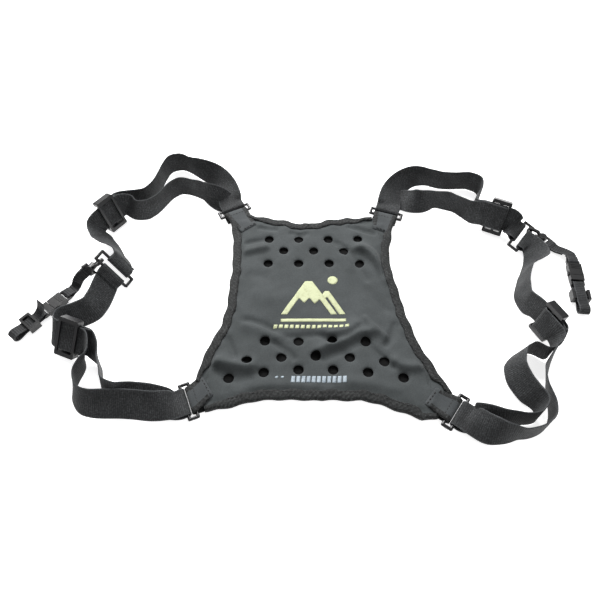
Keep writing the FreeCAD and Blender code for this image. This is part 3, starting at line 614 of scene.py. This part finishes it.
nylon = cloth_material("panel_nylon_cloth", (0.041, 0.047, 0.048), (0.062, 0.069, 0.071))
tab_cloth = cloth_material("tab_nylon_cloth", (0.040, 0.045, 0.048), (0.063, 0.069, 0.072),
                           "UV", 0.0011, 0.75, weave_depth=0.6)
strap_web = webbing_material("strap_webbing_cloth", (0.012, 0.013, 0.014),
                             (0.036, 0.038, 0.040), 0.0127)
narrow_web = webbing_material("narrow_webbing_cloth", (0.010, 0.011, 0.012),
                              (0.034, 0.035, 0.037), 0.005, 0.0021, False, 0.4, 0.9)
binding_web = webbing_material("binding_tape_cloth", (0.006, 0.007, 0.007),
                               (0.019, 0.020, 0.020), 0.05, 0.0015, True, 1.0, 0.5, 470.0)
thread = cloth_material("black_thread", (0.006, 0.006, 0.007), (0.014, 0.014, 0.015),
                        "Object", 0.0004, 0.7, 0.2)
foam_black = foam_material("pad_foam_cells")
mesh_black = mesh_material("back_mesh_knit")
emblem_ink = print_material("emblem_ink", (0.34, 0.36, 0.19), (0.46, 0.49, 0.29))
line_ink = print_material("line_ink", (0.14, 0.18, 0.22), (0.29, 0.34, 0.38))
plastics = {name: plastic_material(name + "_plastic_moulded", dark, light, rough)
            for name, dark, light, rough in (
                ("ring", (0.004, 0.004, 0.005), (0.010, 0.010, 0.011), 0.20),
                ("slider", (0.004, 0.004, 0.005), (0.010, 0.010, 0.011), 0.30),
                ("hook", (0.005, 0.005, 0.005), (0.012, 0.012, 0.013), 0.32),
                ("buckle", (0.005, 0.005, 0.005), (0.012, 0.012, 0.013), 0.36))}


def wear(piece, material):
    piece.data.materials.clear()
    piece.data.materials.append(material)


def hinge_line(side):
    """A point on the strap's fold line and the way out from the panel, in mm, from above."""
    joint = next(j for j in frame["joints"] if j["name"] == "strap_fold_" + side)
    run = np.array(joint["axis"][:2])
    run = run / np.hypot(*run)
    away = np.array([run[1], -run[0]])
    place = np.array(joint["pos_m"][:2]) / MM
    if away @ (place - panel_middle) < 0:
        away = -away
    return place, away


def bend_with(piece):
    """Bakes the piece's placement into its points."""
    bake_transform(piece)


def trimmed(loop):
    """The layers inside the panel stop just past the fold lines, under tabs and binding."""
    loop = loop.copy()
    for side in SIDES:
        place, away = hinge_line(side)
        past = np.maximum((loop - place) @ away - LAYER_PAST_FOLD, 0)
        loop -= past[:, None] * away
    gaps = np.hypot(*(loop - np.roll(loop, 1, axis=0)).T)
    return loop[gaps > 0.4]


# --- panel layers
# a face's height over the table inside the pad and under the binding, mm
FOAM_UNDER = (1.25, 1.9)
BACK_OVER = (1.2, 1.85)
BACK_UNDER = (0.0, 0.9)


def pressed(xy, full_height, edge_height):
    """A layer's height: its own inside the pad, and pressed flat under the binding."""
    share = ease((edge_depth(xy) - SQUEEZE_START) / SQUEEZE_WIDTH)
    return edge_height + (full_height - edge_height) * share


holes = [(centre, HOLE_RADIUS) for centre in hole_centres]
inner_line = edge_line - outward(edge_line) * LAYER_INSET
layer_outline = trimmed(inner_line)
flat_cover = cover(layer_outline, holes, GRID)
solid_cover = cover(layer_outline, [], COARSE_GRID)
front = slab("front_cloth", flat_cover, front_height, lambda xy: front_height(xy) - CLOTH_THICK)
foam = slab("foam_pad", flat_cover, lambda xy: front_height(xy) - FOAM_BELOW,
            lambda xy: pressed(xy, *FOAM_UNDER))
back = slab("back_mesh_cloth", solid_cover, lambda xy: pressed(xy, *BACK_OVER),
            lambda xy: pressed(xy, *BACK_UNDER))
for piece, cloth, node, slot_name in ((front, nylon, "front_shell", "panel_nylon"),
                                      (foam, foam_black, "foam_core", "pad_foam"),
                                      (back, mesh_black, "back_mesh", "back_mesh")):
    wear(piece, cloth)
    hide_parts(node)
    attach(piece, "panel")


def corner_outlines(side):
    """Closed outlines of what lies beyond a fold line: two corners, or one whole side."""
    loop = inner_line
    place, away = hinge_line(side)
    beyond = (loop - place) @ away > LAYER_PAST_FOLD - CORNER_OVERLAP
    start = int(np.argmin(beyond))
    loop, beyond = np.roll(loop, -start, axis=0), np.roll(beyond, -start)
    turns = np.flatnonzero(np.diff(beyond.astype(int))) + 1
    runs = np.split(np.arange(len(loop)), turns)
    return [resample(loop[run], EDGE_STEP) for run in runs if beyond[run[0]] and len(run) > 4]


def corner_cloth(name, loop):
    """The panel's layers beyond a fold line, sewn flat together."""
    piece = slab(name, cover(loop, [], GRID), lambda xy: front_height(xy) - CORNER_BELOW,
                 lambda xy: pressed(xy, *BACK_UNDER))
    wear(piece, nylon)
    bend_with(piece)
    return piece


for side in SIDES:
    for loop in corner_outlines(side):
        level = "upper" if loop[:, 1].mean() > panel_middle[1] else "lower"
        corner_cloth(f"corner_cloth_{level}_{side}", loop)


# --- corners of the panel
CORNERS = {f"{level}_{side}": side for side in SIDES for level in ("upper", "lower")}


def corner_seat(corner):
    """Middle of the ring's inner bar, the way out from the panel and the way across."""
    points, _ = welded("corner_fold_" + corner)
    flat = np.array(points)[:, :2]
    middle = (flat.min(axis=0) + flat.max(axis=0)) / 2
    centred = flat - flat.mean(axis=0)
    _, vectors = np.linalg.eigh(centred.T @ centred)
    across = vectors[:, 1]
    out = np.array([across[1], -across[0]])
    if out @ (middle - panel_middle) < 0:
        out = -out
    reach = (flat @ out).max() - WRAP_RADIUS
    side = flat @ across
    bar = out * reach + across * (side.min() + side.max()) / 2
    return bar, out, np.array([-out[1], out[0]])


seats = {corner: corner_seat(corner) for corner in CORNERS}


def tab_seam(corner):
    """The two ends of the sewn inner edge of a corner tab."""
    loop = flat_loops("corner_tab_" + corner, TAB_FACE)[0]
    bar, out, across = seats[corner]
    best, chosen = -1, None
    for a, b in zip(loop, np.roll(loop, -1, axis=0)):
        run = b - a
        length = np.hypot(*run)
        if length < 4:
            continue
        facing = abs(np.array([run[1], -run[0]]) @ out) / length
        score = length * facing * (1 if (a + b) @ out / 2 < bar @ out - 8 else 0)
        if score > best:
            best, chosen = score, (a, b)
    a, b = chosen
    return (a, b) if (a - b) @ across < 0 else (b, a)


# --- edge binding
def binding_runs():
    """The outline between the corner tabs' ends, as four runs of point numbers."""
    count = len(edge_line)
    normal = outward(edge_line)
    end = np.zeros(count, bool)
    for bar, out, _ in seats.values():
        close = np.hypot(*(edge_line - bar).T) < 15
        end |= close & (normal @ out > 0.8)
    start = next(i for i in range(count) if end[i] and not end[(i + 1) % count])
    runs, run = [], []
    for step in range(1, count + 1):
        i = (start + step) % count
        if end[i]:
            if len(run) > 12:
                runs.append(run)
            run = []
        else:
            run.append(i)
    if len(run) > 12:
        runs.append(run)
    return runs


def binding_side(run):
    """Which of the four bindings a run of the outline belongs to."""
    middle = edge_line[run[len(run) // 2]]
    best = None
    for side in ("top", "bottom", "left", "right"):
        points, _ = welded("edge_binding_" + side)
        gap = np.hypot(*(np.array(points)[:, :2] - middle).T).min()
        if best is None or gap < best[0]:
            best = (gap, side)
    return best[1]


def rounded(values, window):
    """A running mean that keeps its ends."""
    padded_values = np.pad(values, ((window, window), (0, 0)), mode="edge")
    kernel = np.ones(2 * window + 1) / (2 * window + 1)
    return np.column_stack([np.convolve(padded_values[:, k], kernel, "valid")
                            for k in range(values.shape[1])])


def tape_profile(w, top, inner_top, lift):
    """The folded tape's section: pairs of the distance in from the edge and the height, mm."""
    return [(w, inner_top), (w - 0.5, inner_top + 0.75), (w * 0.66, top),
            (w * 0.4, top + 0.05), (1.6, top - 0.05), (0.55, top - 0.75),
            (0.0, 3.4), (0.05, 2.2), (0.6, 0.75), (1.6, 0.12), (w * 0.5, 0.05),
            (w - 0.5, 0.05), (w, 0.3), (w - 0.2, 0.75),
            (2.0, 0.85), (1.0, 1.6), (0.9, 3.4), (2.0, 4.25 + lift),
            (w * 0.5, 4.3 + lift), (w - 0.3, inner_top - 0.05)]


def binding(name, run, side, ends):
    """Folded tape over the panel's edge, with slight puckers."""
    path = edge_line[run]
    normal = rounded(outward(edge_line)[run], 2)
    normal /= np.hypot(*normal.T)[:, None]
    lengths = lengths_along(path)
    near_end = np.full(len(path), 99.0)
    if "first" in ends:
        near_end = lengths
    if "last" in ends:
        near_end = np.minimum(near_end, lengths[-1] - lengths)
    wide = BINDING_WIDE - 4.0 * (1 - ease((near_end - 8) / 14))
    lift = 0.75 * (1 - ease((near_end - 10) / 10))
    phase = {"top": 0.3, "bottom": 1.9, "left": 3.1, "right": 4.4}[side]
    pucker = (np.sin(lengths / 3.1 + phase) * np.sin(lengths / 7.7 + phase * 2)
              + 0.6 * np.sin(lengths / 1.9 + phase))
    sway = {"top": 0.9, "bottom": 0.45, "left": 0.4, "right": 0.45}[side]
    waves = np.sin(lengths / 3.4 + phase) + 0.7 * np.sin(lengths / 6.1 + 2 * phase)
    path = path + normal * (sway * waves * ease(near_end / 12))[:, None]
    points, coords = [], []
    for k, (spot, out) in enumerate(zip(path, normal)):
        w = wide[k] + 0.35 * pucker[k]
        top = 5.25 + lift[k] + 0.16 * pucker[k]
        inner = spot - out * w
        rest = float(front_height(inner[None])[0])
        inner_top = max(rest + 0.15, 4.3) + lift[k]
        profile = tape_profile(w, top, inner_top, lift[k])
        around = 0.0
        for j, (inset, z) in enumerate(profile):
            if j:
                around += math.hypot(inset - profile[j - 1][0], z - profile[j - 1][1])
            points.append((*(spot - out * inset), z))
            coords.append((lengths[k] * MM, around * MM))
    sides, closing = tube_faces(len(path), len(profile))
    piece = make_object("binding_" + name, points, sides + closing, coords)
    wear(piece, binding_web)
    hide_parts("edge_binding_" + side)
    return piece


# --- stitches
# rings of one stitch: place along it and share of its radius
THREAD_RINGS = ((0, 0.35), (0.12, 0.85), (0.5, 1.0), (0.88, 0.85), (1.0, 0.35))
THREAD_SIDES = 6
# one stitch's length, the gap after it and the thread's radius, mm
BINDING_STITCH = (2.4, 1.2, 0.26)
TAB_STITCH = (2.5, 1.3, 0.42)
FOLD_STITCH = (2.0, 1.2, 0.3)
STRAP_STITCH = (2.2, 1.0, 0.26)
UPWARD = (0, 0, 1)


def at_length(points, along, at):
    """The point a distance along a line."""
    return np.array([np.interp(at, along, points[:, k]) for k in range(3)])


def stitch_row(name, points, up, stitch):
    """Short rounded threads along a line of 3-D points in mm; up points off the cloth."""
    length, gap, radius = stitch
    points = np.array(points, float)
    up = np.array(up, float)
    along = lengths_along(points)
    spots, faces = [], []
    start = gap / 2
    while start + length <= along[-1]:
        first = len(spots)
        for share, size in THREAD_RINGS:
            at = start + share * length
            centre = at_length(points, along, at)
            run = (at_length(points, along, min(at + 0.4, along[-1]))
                   - at_length(points, along, max(at - 0.4, 0)))
            run /= np.linalg.norm(run)
            side = np.cross(run, up)
            side /= np.linalg.norm(side)
            arch = up * (0.25 * radius * (4 * share * (1 - share)))
            for turn in np.arange(THREAD_SIDES) * 2 * math.pi / THREAD_SIDES:
                spots.append(centre + arch + radius * size
                             * (math.cos(turn) * side * 1.2 + math.sin(turn) * up * 0.8))
        sides, ends = tube_faces(len(THREAD_RINGS), THREAD_SIDES)
        faces += [[first + i for i in face] for face in sides + ends]
        start += length + gap
    piece = make_object(name, spots, faces)
    wear(piece, thread)
    return piece


def binding_parts(run, side):
    """A run's parts, one for each strap loop: name, points, loop side, tab ends."""
    if side in SIDES:
        return [(side, run, side, ("first", "last"))]
    half = len(run) // 2
    first = "left" if edge_line[run[0]][0] < edge_line[run[-1]][0] else "right"
    last = "right" if first == "left" else "left"
    return [(f"{side}_{first}", run[:half + 1], first, ("first",)),
            (f"{side}_{last}", run[half:], last, ("last",))]


for run in binding_runs():
    side = binding_side(run)
    for name, part, loop_side, ends in binding_parts(run, side):
        piece = binding(name, part, side, ends)
        bend_with(piece)
        path = edge_line[part] - rounded(outward(edge_line)[part], 2) * (BINDING_WIDE - 1.9)
        path = path[12 if "first" in ends else 0:-12 if "last" in ends else None]
        heights = np.full(len(path), STITCH_HEIGHT)
        row = stitch_row("binding_stitches_" + name, np.column_stack([path, heights]),
                         UPWARD, BINDING_STITCH)
        bend_with(row)


# --- corner tabs
PATCH_ROWS, WRAP_ROWS, UNDER_ROWS, TAB_COLUMNS = 14, 8, 4, 11
TAB_THICK = 1.1         # mm
SEAM_INSET = 2.6        # mm that the tab is narrower than the seam at each end
UNDER_STEP = 2.0        # mm between the rows under the ring bar


def tab_stations(a, b, left, right, out):
    """Rows across the tab, seam to underside: its two ends, its part, how far along that."""
    rows = []
    for t in (k / PATCH_ROWS for k in range(PATCH_ROWS + 1)):
        rows.append((a + (left - a) * t, b + (right - b) * t, "patch", t))
    rows += [(left, right, "wrap", k / WRAP_ROWS) for k in range(1, WRAP_ROWS + 1)]
    for k in range(1, UNDER_ROWS + 1):
        back = out * (UNDER_STEP * k)
        rows.append((left - back, right - back, "under", k / UNDER_ROWS))
    return rows


def tab_points(xy, out, part, t, v):
    """The tab's outer and inner point over one spot; v runs across it."""
    if part == "patch":
        ground = float(front_height(xy[None])[0])
        swell = 0.25 * math.sin(math.pi * v) * math.sin(math.pi * min(1, t * 1.2))
        over = ease((t - 0.45) / 0.5)
        z = ((max(ground, 4.2) + 0.35 + 0.85 * ease(t * 6) + swell) * (1 - over)
             + (BAR_HEIGHT + WRAP_RADIUS) * over)
        return (*xy, z), (*xy, max(z - TAB_THICK, ground * (1 - over) + 0.05))
    if part == "wrap":
        angle = math.pi / 2 - math.pi * t
        both = []
        for radius, bulge in ((WRAP_RADIUS, WRAP_BULGE),
                              (WRAP_RADIUS - TAB_THICK, WRAP_BULGE - TAB_THICK)):
            place = xy + out * bulge * math.cos(angle)
            both.append((*place, BAR_HEIGHT + radius * math.sin(angle)))
        return both
    high = BAR_HEIGHT - (WRAP_RADIUS - TAB_THICK)
    return (*xy, 0.7 - 0.62 * ease(t * 1.6)), (*xy, high + (0.85 - high) * ease(t * 2))


def shell_faces(rows, columns):
    """Faces of two grids of points, outer then inner, closed round their rim."""
    half = rows * columns
    faces = []
    for k in range(rows - 1):
        for j in range(columns - 1):
            i = k * columns + j
            faces.append([i, i + columns, i + columns + 1, i + 1])
            faces.append([half + i, half + i + 1, half + i + columns + 1, half + i + columns])
        i, e = k * columns, (k + 1) * columns - 1
        faces.append([i, half + i, half + i + columns, i + columns])
        faces.append([e, e + columns, half + e + columns, half + e])
    for j in range(columns - 1):
        faces.append([j, j + 1, half + j + 1, half + j])
        i = (rows - 1) * columns + j
        faces.append([i, half + i, half + i + 1, i + 1])
    return faces


def edge_taped(piece, rows, columns):
    """The tab's two long edges wear the binding tape."""
    piece.data.materials.append(binding_web)
    for face in piece.data.polygons:
        across = {i % columns for i in face.vertices}
        along = {(i % (rows * columns)) // columns for i in face.vertices}
        if (max(across) <= 2 or min(across) >= columns - 3) and min(along) > 2:
            face.material_index = 1


def corner_tab(corner):
    """Nylon patch sewn to the panel and folded round the inner bar of its ring."""
    bar, out, across = seats[corner]
    a, b = tab_seam(corner)
    run = (b - a) / np.hypot(*(b - a))
    a, b = a + run * SEAM_INSET, b - run * SEAM_INSET
    left, right = bar - across * TAB_HALF, bar + across * TAB_HALF
    outer, inner, middles, widths = [], [], [], []
    shares = [j / (TAB_COLUMNS - 1) for j in range(TAB_COLUMNS)]
    stations = tab_stations(a, b, left, right, out)
    for p, q, part, t in stations:
        pairs = [tab_points(p + (q - p) * v, out, part, t, v) for v in shares]
        outer += [pair[0] for pair in pairs]
        inner += [pair[1] for pair in pairs]
        middles.append(np.array(pairs[TAB_COLUMNS // 2][0]))
        widths.append(np.hypot(*(q - p)))
    coords = [(length * MM, (v - 0.5) * wide * MM)
              for length, wide in zip(lengths_along(np.array(middles)), widths)
              for v in shares]
    faces = shell_faces(len(stations), TAB_COLUMNS)
    piece = make_object("tab_" + corner, outer + inner, faces, coords * 2)
    wear(piece, tab_cloth)
    edge_taped(piece, len(stations), TAB_COLUMNS)
    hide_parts("corner_tab_" + corner, "corner_fold_" + corner)
    # the first seam holds the tab to the panel, the second holds the fold shut
    seam = [a + (b - a) * v + out * 1.9 for v in np.linspace(0.02, 0.98, 12)]
    seam = [(*p, max(float(front_height(p[None])[0]), 4.2) + 1.2) for p in seam]
    fold = [left + (right - left) * v - out * 3.0 for v in np.linspace(0.06, 0.94, 10)]
    fold = [(*p, 6.35) for p in fold]
    row = stitch_row("tab_seam_" + corner, seam, UPWARD, TAB_STITCH)
    second = stitch_row("tab_fold_seam_" + corner, fold, UPWARD, FOLD_STITCH)
    for part in (piece, row, second):
        bend_with(part)


for corner in CORNERS:
    corner_tab(corner)


# --- webbing
def end_cap(points, faces, wide, thick):
    """The four corners of a strap's flat end, found as two triangles with a shared side."""
    def gap(a, b):
        return np.linalg.norm(points[a] - points[b])

    for face in faces:
        sides = sorted(gap(a, b) for a, b in sides_of(face))
        if len(face) != 3 or abs(sides[0] - thick) >= 0.05 or abs(sides[1] - wide) >= 0.12:
            continue
        for other in faces:
            extra = set(other) - set(face)
            if len(set(face) & set(other)) != 2 or len(extra) != 1:
                continue
            four = list(set(face) | extra)
            middle = points[four].mean(axis=0)
            off_end = abs(np.linalg.norm(points[four] - middle, axis=1) - wide / 2).max()
            if (max(gap(a, b) for a in four for b in four) < wide * 1.01 and off_end < 0.3
                    and any(abs(gap(e, f) - thick) < 0.05 for e in extra for f in face)):
                return set(four)


def sections(node, wide, thick):
    """A strap's cross-sections in order: middle, half width across, up."""
    points, faces = welded(node)
    points = np.array(points)
    near = {i: set() for i in range(len(points))}
    for face in faces:
        for a, b in sides_of(face):
            near[a].add(b)
            near[b].add(a)
    rows, seen, layer = [], set(), end_cap(points, faces, wide, thick)
    while layer:
        rows.append(sorted(layer))
        seen |= layer
        layer = {j for i in layer for j in near[i]} - seen
    out = []
    last_across, last_up = None, None
    for row in rows:
        if len(row) != 4:
            continue
        spots = points[row]
        partner = min(range(1, 4), key=lambda k: np.linalg.norm(spots[k] - spots[0]))
        rest = [k for k in range(1, 4) if k != partner]
        one, two = (spots[0] + spots[partner]) / 2, (spots[rest[0]] + spots[rest[1]]) / 2
        across = two - one
        if last_across is not None and across @ last_across < 0:
            across = -across
        up = spots[0] - spots[partner]
        up /= np.linalg.norm(up)
        if last_up is not None and up @ last_up < 0:
            up = -up
        out.append(((one + two) / 2, across / 2, up))
        last_across, last_up = across, up
    return out


def tangents(values, along):
    """The slope at each given value, from its neighbours."""
    slope = np.zeros_like(values)
    span = (along[2:] - along[:-2])[:, None]
    slope[1:-1] = (values[2:] - values[:-2]) / span
    slope[0] = (values[1] - values[0]) / (along[1] - along[0])
    slope[-1] = (values[-1] - values[-2]) / (along[-1] - along[-2])
    return slope


def curve(values, along, at):
    """Values between the given ones, on a smooth (Hermite) curve."""
    slope = tangents(values, along)
    k = np.clip(np.searchsorted(along, at, side="right") - 1, 0, len(along) - 2)
    h = along[k + 1] - along[k]
    t = ((at - along[k]) / h)[:, None]
    h = h[:, None]
    return ((2 * t ** 3 - 3 * t ** 2 + 1) * values[k] + (t ** 3 - 2 * t ** 2 + t) * h * slope[k]
            + (-2 * t ** 3 + 3 * t ** 2) * values[k + 1] + (t ** 3 - t ** 2) * h * slope[k + 1])


def flowing(rows, step):
    """The sections at even steps along a smooth curve."""
    middle = np.array([row[0] for row in rows])
    across = np.array([row[1] for row in rows])
    along = lengths_along(middle)
    keep = [0]
    for k in range(1, len(along)):
        if along[k] - along[keep[-1]] > 0.4:
            keep.append(k)
    middle, across, along = middle[keep], across[keep], along[keep]

    count = int(along[-1] / step)
    at = np.linspace(0, along[-1], count + 1)
    spots = curve(middle, along, at)
    sides = curve(across, along, at)
    half = np.linalg.norm(across, axis=1).mean()
    sides *= (half / np.linalg.norm(sides, axis=1))[:, None]
    ahead = np.gradient(spots, axis=0)
    ahead /= np.linalg.norm(ahead, axis=1)[:, None]
    unit = sides / half
    up = np.cross(ahead, unit)
    up /= np.linalg.norm(up, axis=1)[:, None]
    if up[0] @ rows[0][2] < 0:
        up = -up
    return spots, unit, up, half


def ribbon(name, node, body, wide, thick, material, step=1.5):
    """Woven tape with rounded selvedges along a CAD strap."""
    spots, unit, up, half = flowing(sections(node, wide, thick), step)
    lengths = lengths_along(spots)
    shares = (-1.0, -0.97, -0.9, -0.75, -0.4, 0.0, 0.4, 0.75, 0.9, 0.97, 1.0)
    depth = (0.25, 0.72, 0.95, 0.8, 0.86, 0.88, 0.86, 0.8, 0.95, 0.72, 0.25)
    outline_pairs = list(zip(shares, depth)) + [(s, -d) for s, d in zip(shares[::-1], depth)]
    points, coords = [], []
    for k in range(len(spots)):
        for share, size in outline_pairs:
            points.append(spots[k] + unit[k] * half * share + up[k] * thick / 2 * size)
            coords.append((lengths[k] * MM, share * half * MM))
    sides, ends = tube_faces(len(spots), len(outline_pairs))
    faces = sides + ends
    if np.cross(spots[1] - spots[0], unit[0]) @ up[0] > 0:
        faces = [face[::-1] for face in faces]
    piece = make_object(name, points, faces, coords)
    wear(piece, material)
    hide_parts(node)
    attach(piece, body)
    return piece, (spots, unit, up, half, lengths)


STRAPS = {f"webbing_{kind}_{side}": (f"{kind}_strap_{side}", "side_" + side)
          for side in SIDES for kind in ("shoulder", "underarm")}
NARROW = {f"{name}_webbing_{side}": (f"{node}_{side}", f"{body}_{side}")
          for name, node, body in (("band", "connector_band", "band"),
                                   ("optic", "optic_web", "plug"))
          for side in SIDES}
courses = {}
for name, (node, body) in STRAPS.items():
    piece, courses[name] = ribbon(name, node, body, STRAP_WIDE, STRAP_THICK,
                                  strap_web)
for name, (node, body) in NARROW.items():
    piece, courses[name] = ribbon(name, node, body, NARROW_WIDE, NARROW_THICK,
                                  narrow_web, NARROW_STEP)

# --- sewn ends
SEAM_REACH = 0.82       # share of the strap's half width that a seam reaches


def cross_seam(name, course, at, body):
    """A row of stitches across a strap on both its faces, at a length along it."""
    spots, unit, up, half, lengths = course
    k = int(np.searchsorted(lengths, at))
    for face, lift in (("top", 1), ("under", -1)):
        line = [spots[k] + unit[k] * half * share + up[k] * lift * 0.66
                for share in np.linspace(-SEAM_REACH, SEAM_REACH, 7)]
        row = stitch_row(f"{name}_{face}", line, up[k] * lift, STRAP_STITCH)
        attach(row, body)


for name, (node, body) in STRAPS.items():
    total = courses[name][4][-1]
    for number, at in enumerate((4.0, 8.0, total - 8.0, total - 4.0)):
        cross_seam(f"seam_{node}_{number + 1}", courses[name], at, body)

# --- moulded parts
# the first word found in a node's name says which plastic it wears
PLASTIC_WORDS = (("ring", "ring"), ("strap_slider", "slider"), ("hook", "hook"),
                 ("clip", "hook"), ("buckle", "buckle"), ("optic_slider", "buckle"))
for name, piece in nodes.items():
    material = next((plastics[kind] for word, kind in PLASTIC_WORDS if word in name), None)
    if material is None:
        continue
    for slot in piece.material_slots:
        slot.material = material
    soften = piece.modifiers.new("softened edges", "BEVEL")
    soften.width = 0.0005
    soften.segments = 2
    soften.limit_method = "ANGLE"
    soften.angle_limit = math.radians(38)

# --- print on the front
BAR_SLANT = 0.6         # mm that a printed bar leans over its height


def bar(x0, x1, y0, y1):
    return np.array([(x0, y0), (x1, y0), (x1 + BAR_SLANT, y1), (x0 + BAR_SLANT, y1)], float)


def on_front(name, shapes, ink):
    """Thin ink over the cloth, following its folds."""
    points, faces = [], []
    for shape in shapes:
        loop = resample(np.array(shape, float), 0.8)
        spots, triangles = cover(loop, [], 1.2)
        ground = front_height(spots)
        start, count = len(points), len(spots)
        points += [(x, y, z + INK_ABOVE) for (x, y), z in zip(spots, ground)]
        points += [(x, y, z - INK_BELOW) for (x, y), z in zip(spots, ground)]
        faces += [[i + start for i in face] for face in closed_faces(triangles, count)]
    piece = make_object(name, points, faces)
    wear(piece, ink)
    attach(piece, "panel")
    return piece


PEAKS = [
    [(-31, -15), (-8, 24), (-1, 24), (22, -15), (16, -15), (6, 2), (1, -3), (-4, 4),
     (-9, -2), (-14, 4), (-25, -15)],
    [(30, -15), (15, 12), (11, 12), (8, 7), (11, 2), (13, 5), (24, -15)],
    [(-31, -20), (30, -20), (30, -23.5), (-31, -23.5)],
]
on_front("peak_emblem", PEAKS + [circle(np.array([19.0, 25.0]), 5.0, 24)], emblem_ink)
on_front("upper_bars", [bar(x, x + 3.6, -31 - 0.02 * x, -27.2 - 0.02 * x)
                        for x in np.arange(-38, 31, 5.1)], emblem_ink)
on_front("lower_bars", [bar(-35, -32.5, -82, -80), bar(-30, -27.5, -82, -80)]
         + [bar(x, x + 3.4, -86.5, -80) for x in np.arange(-21, 26, 4.5)], line_ink)


# --- studio
FLOOR_HALF, FLOOR_LEVEL = 12.0, -0.0003      # m


def pale_floor(scene):
    """A bright sheet under the harness."""
    mesh = bpy.data.meshes.new("floor")
    mesh.from_pydata([(x * FLOOR_HALF, y * FLOOR_HALF, FLOOR_LEVEL)
                      for x, y in ((-1, -1), (1, -1), (1, 1), (-1, 1))], [], [(0, 1, 2, 3)])
    floor = bpy.data.objects.new("floor", mesh)
    scene.collection.objects.link(floor)
    material, tree, shader, _ = new_material("pale_floor")
    fill(tree, shader, {"Base Color": (0.86, 0.86, 0.86, 1), "Roughness": 0.9,
                        "Emission Color": (1, 1, 1, 1), "Emission Strength": 0.75})
    mesh.materials.append(material)


def soft_lights(scene):
    """A white room and three lamps: over the top edge, from the front right, and a glint."""
    world = bpy.data.worlds.new("soft_room")
    world.use_nodes = True
    fill(world.node_tree, world.node_tree.nodes["Background"],
         {"Color": (1, 1, 1, 1), "Strength": 0.42})
    scene.world = world
    for name, place, power, wide in (("key_light", (-0.3, 0.85, 0.7), 20.0, 0.6),
                                     ("fill_light", (0.7, -0.5, 1.1), 3.0, 1.0),
                                     ("glint_light", (0.25, 0.45, 0.75), 3.0, 0.12)):
        lamp = bpy.data.lights.new(name, "AREA")
        lamp.energy = power
        lamp.size = wide
        light = bpy.data.objects.new(name, lamp)
        light.location = place
        light.rotation_euler = (-Vector(place)).to_track_quat("-Z", "Y").to_euler()
        scene.collection.objects.link(light)


def photo_camera(scene):
    """The camera where the photograph was taken from."""
    data = bpy.data.cameras.new("camera")
    data.lens = LENS
    data.sensor_width = 36
    camera = bpy.data.objects.new("camera", data)
    camera.location = CAMERA_AT
    look = Vector(LOOK_AT) - Vector(CAMERA_AT)
    camera.rotation_euler = look.to_track_quat("-Z", "Y").to_euler()
    scene.collection.objects.link(camera)
    scene.camera = camera
    scene.view_settings.view_transform = "Standard"
    scene.view_settings.look = "None"


for make in (pale_floor, soft_lights, photo_camera):
    make(bpy.context.scene)
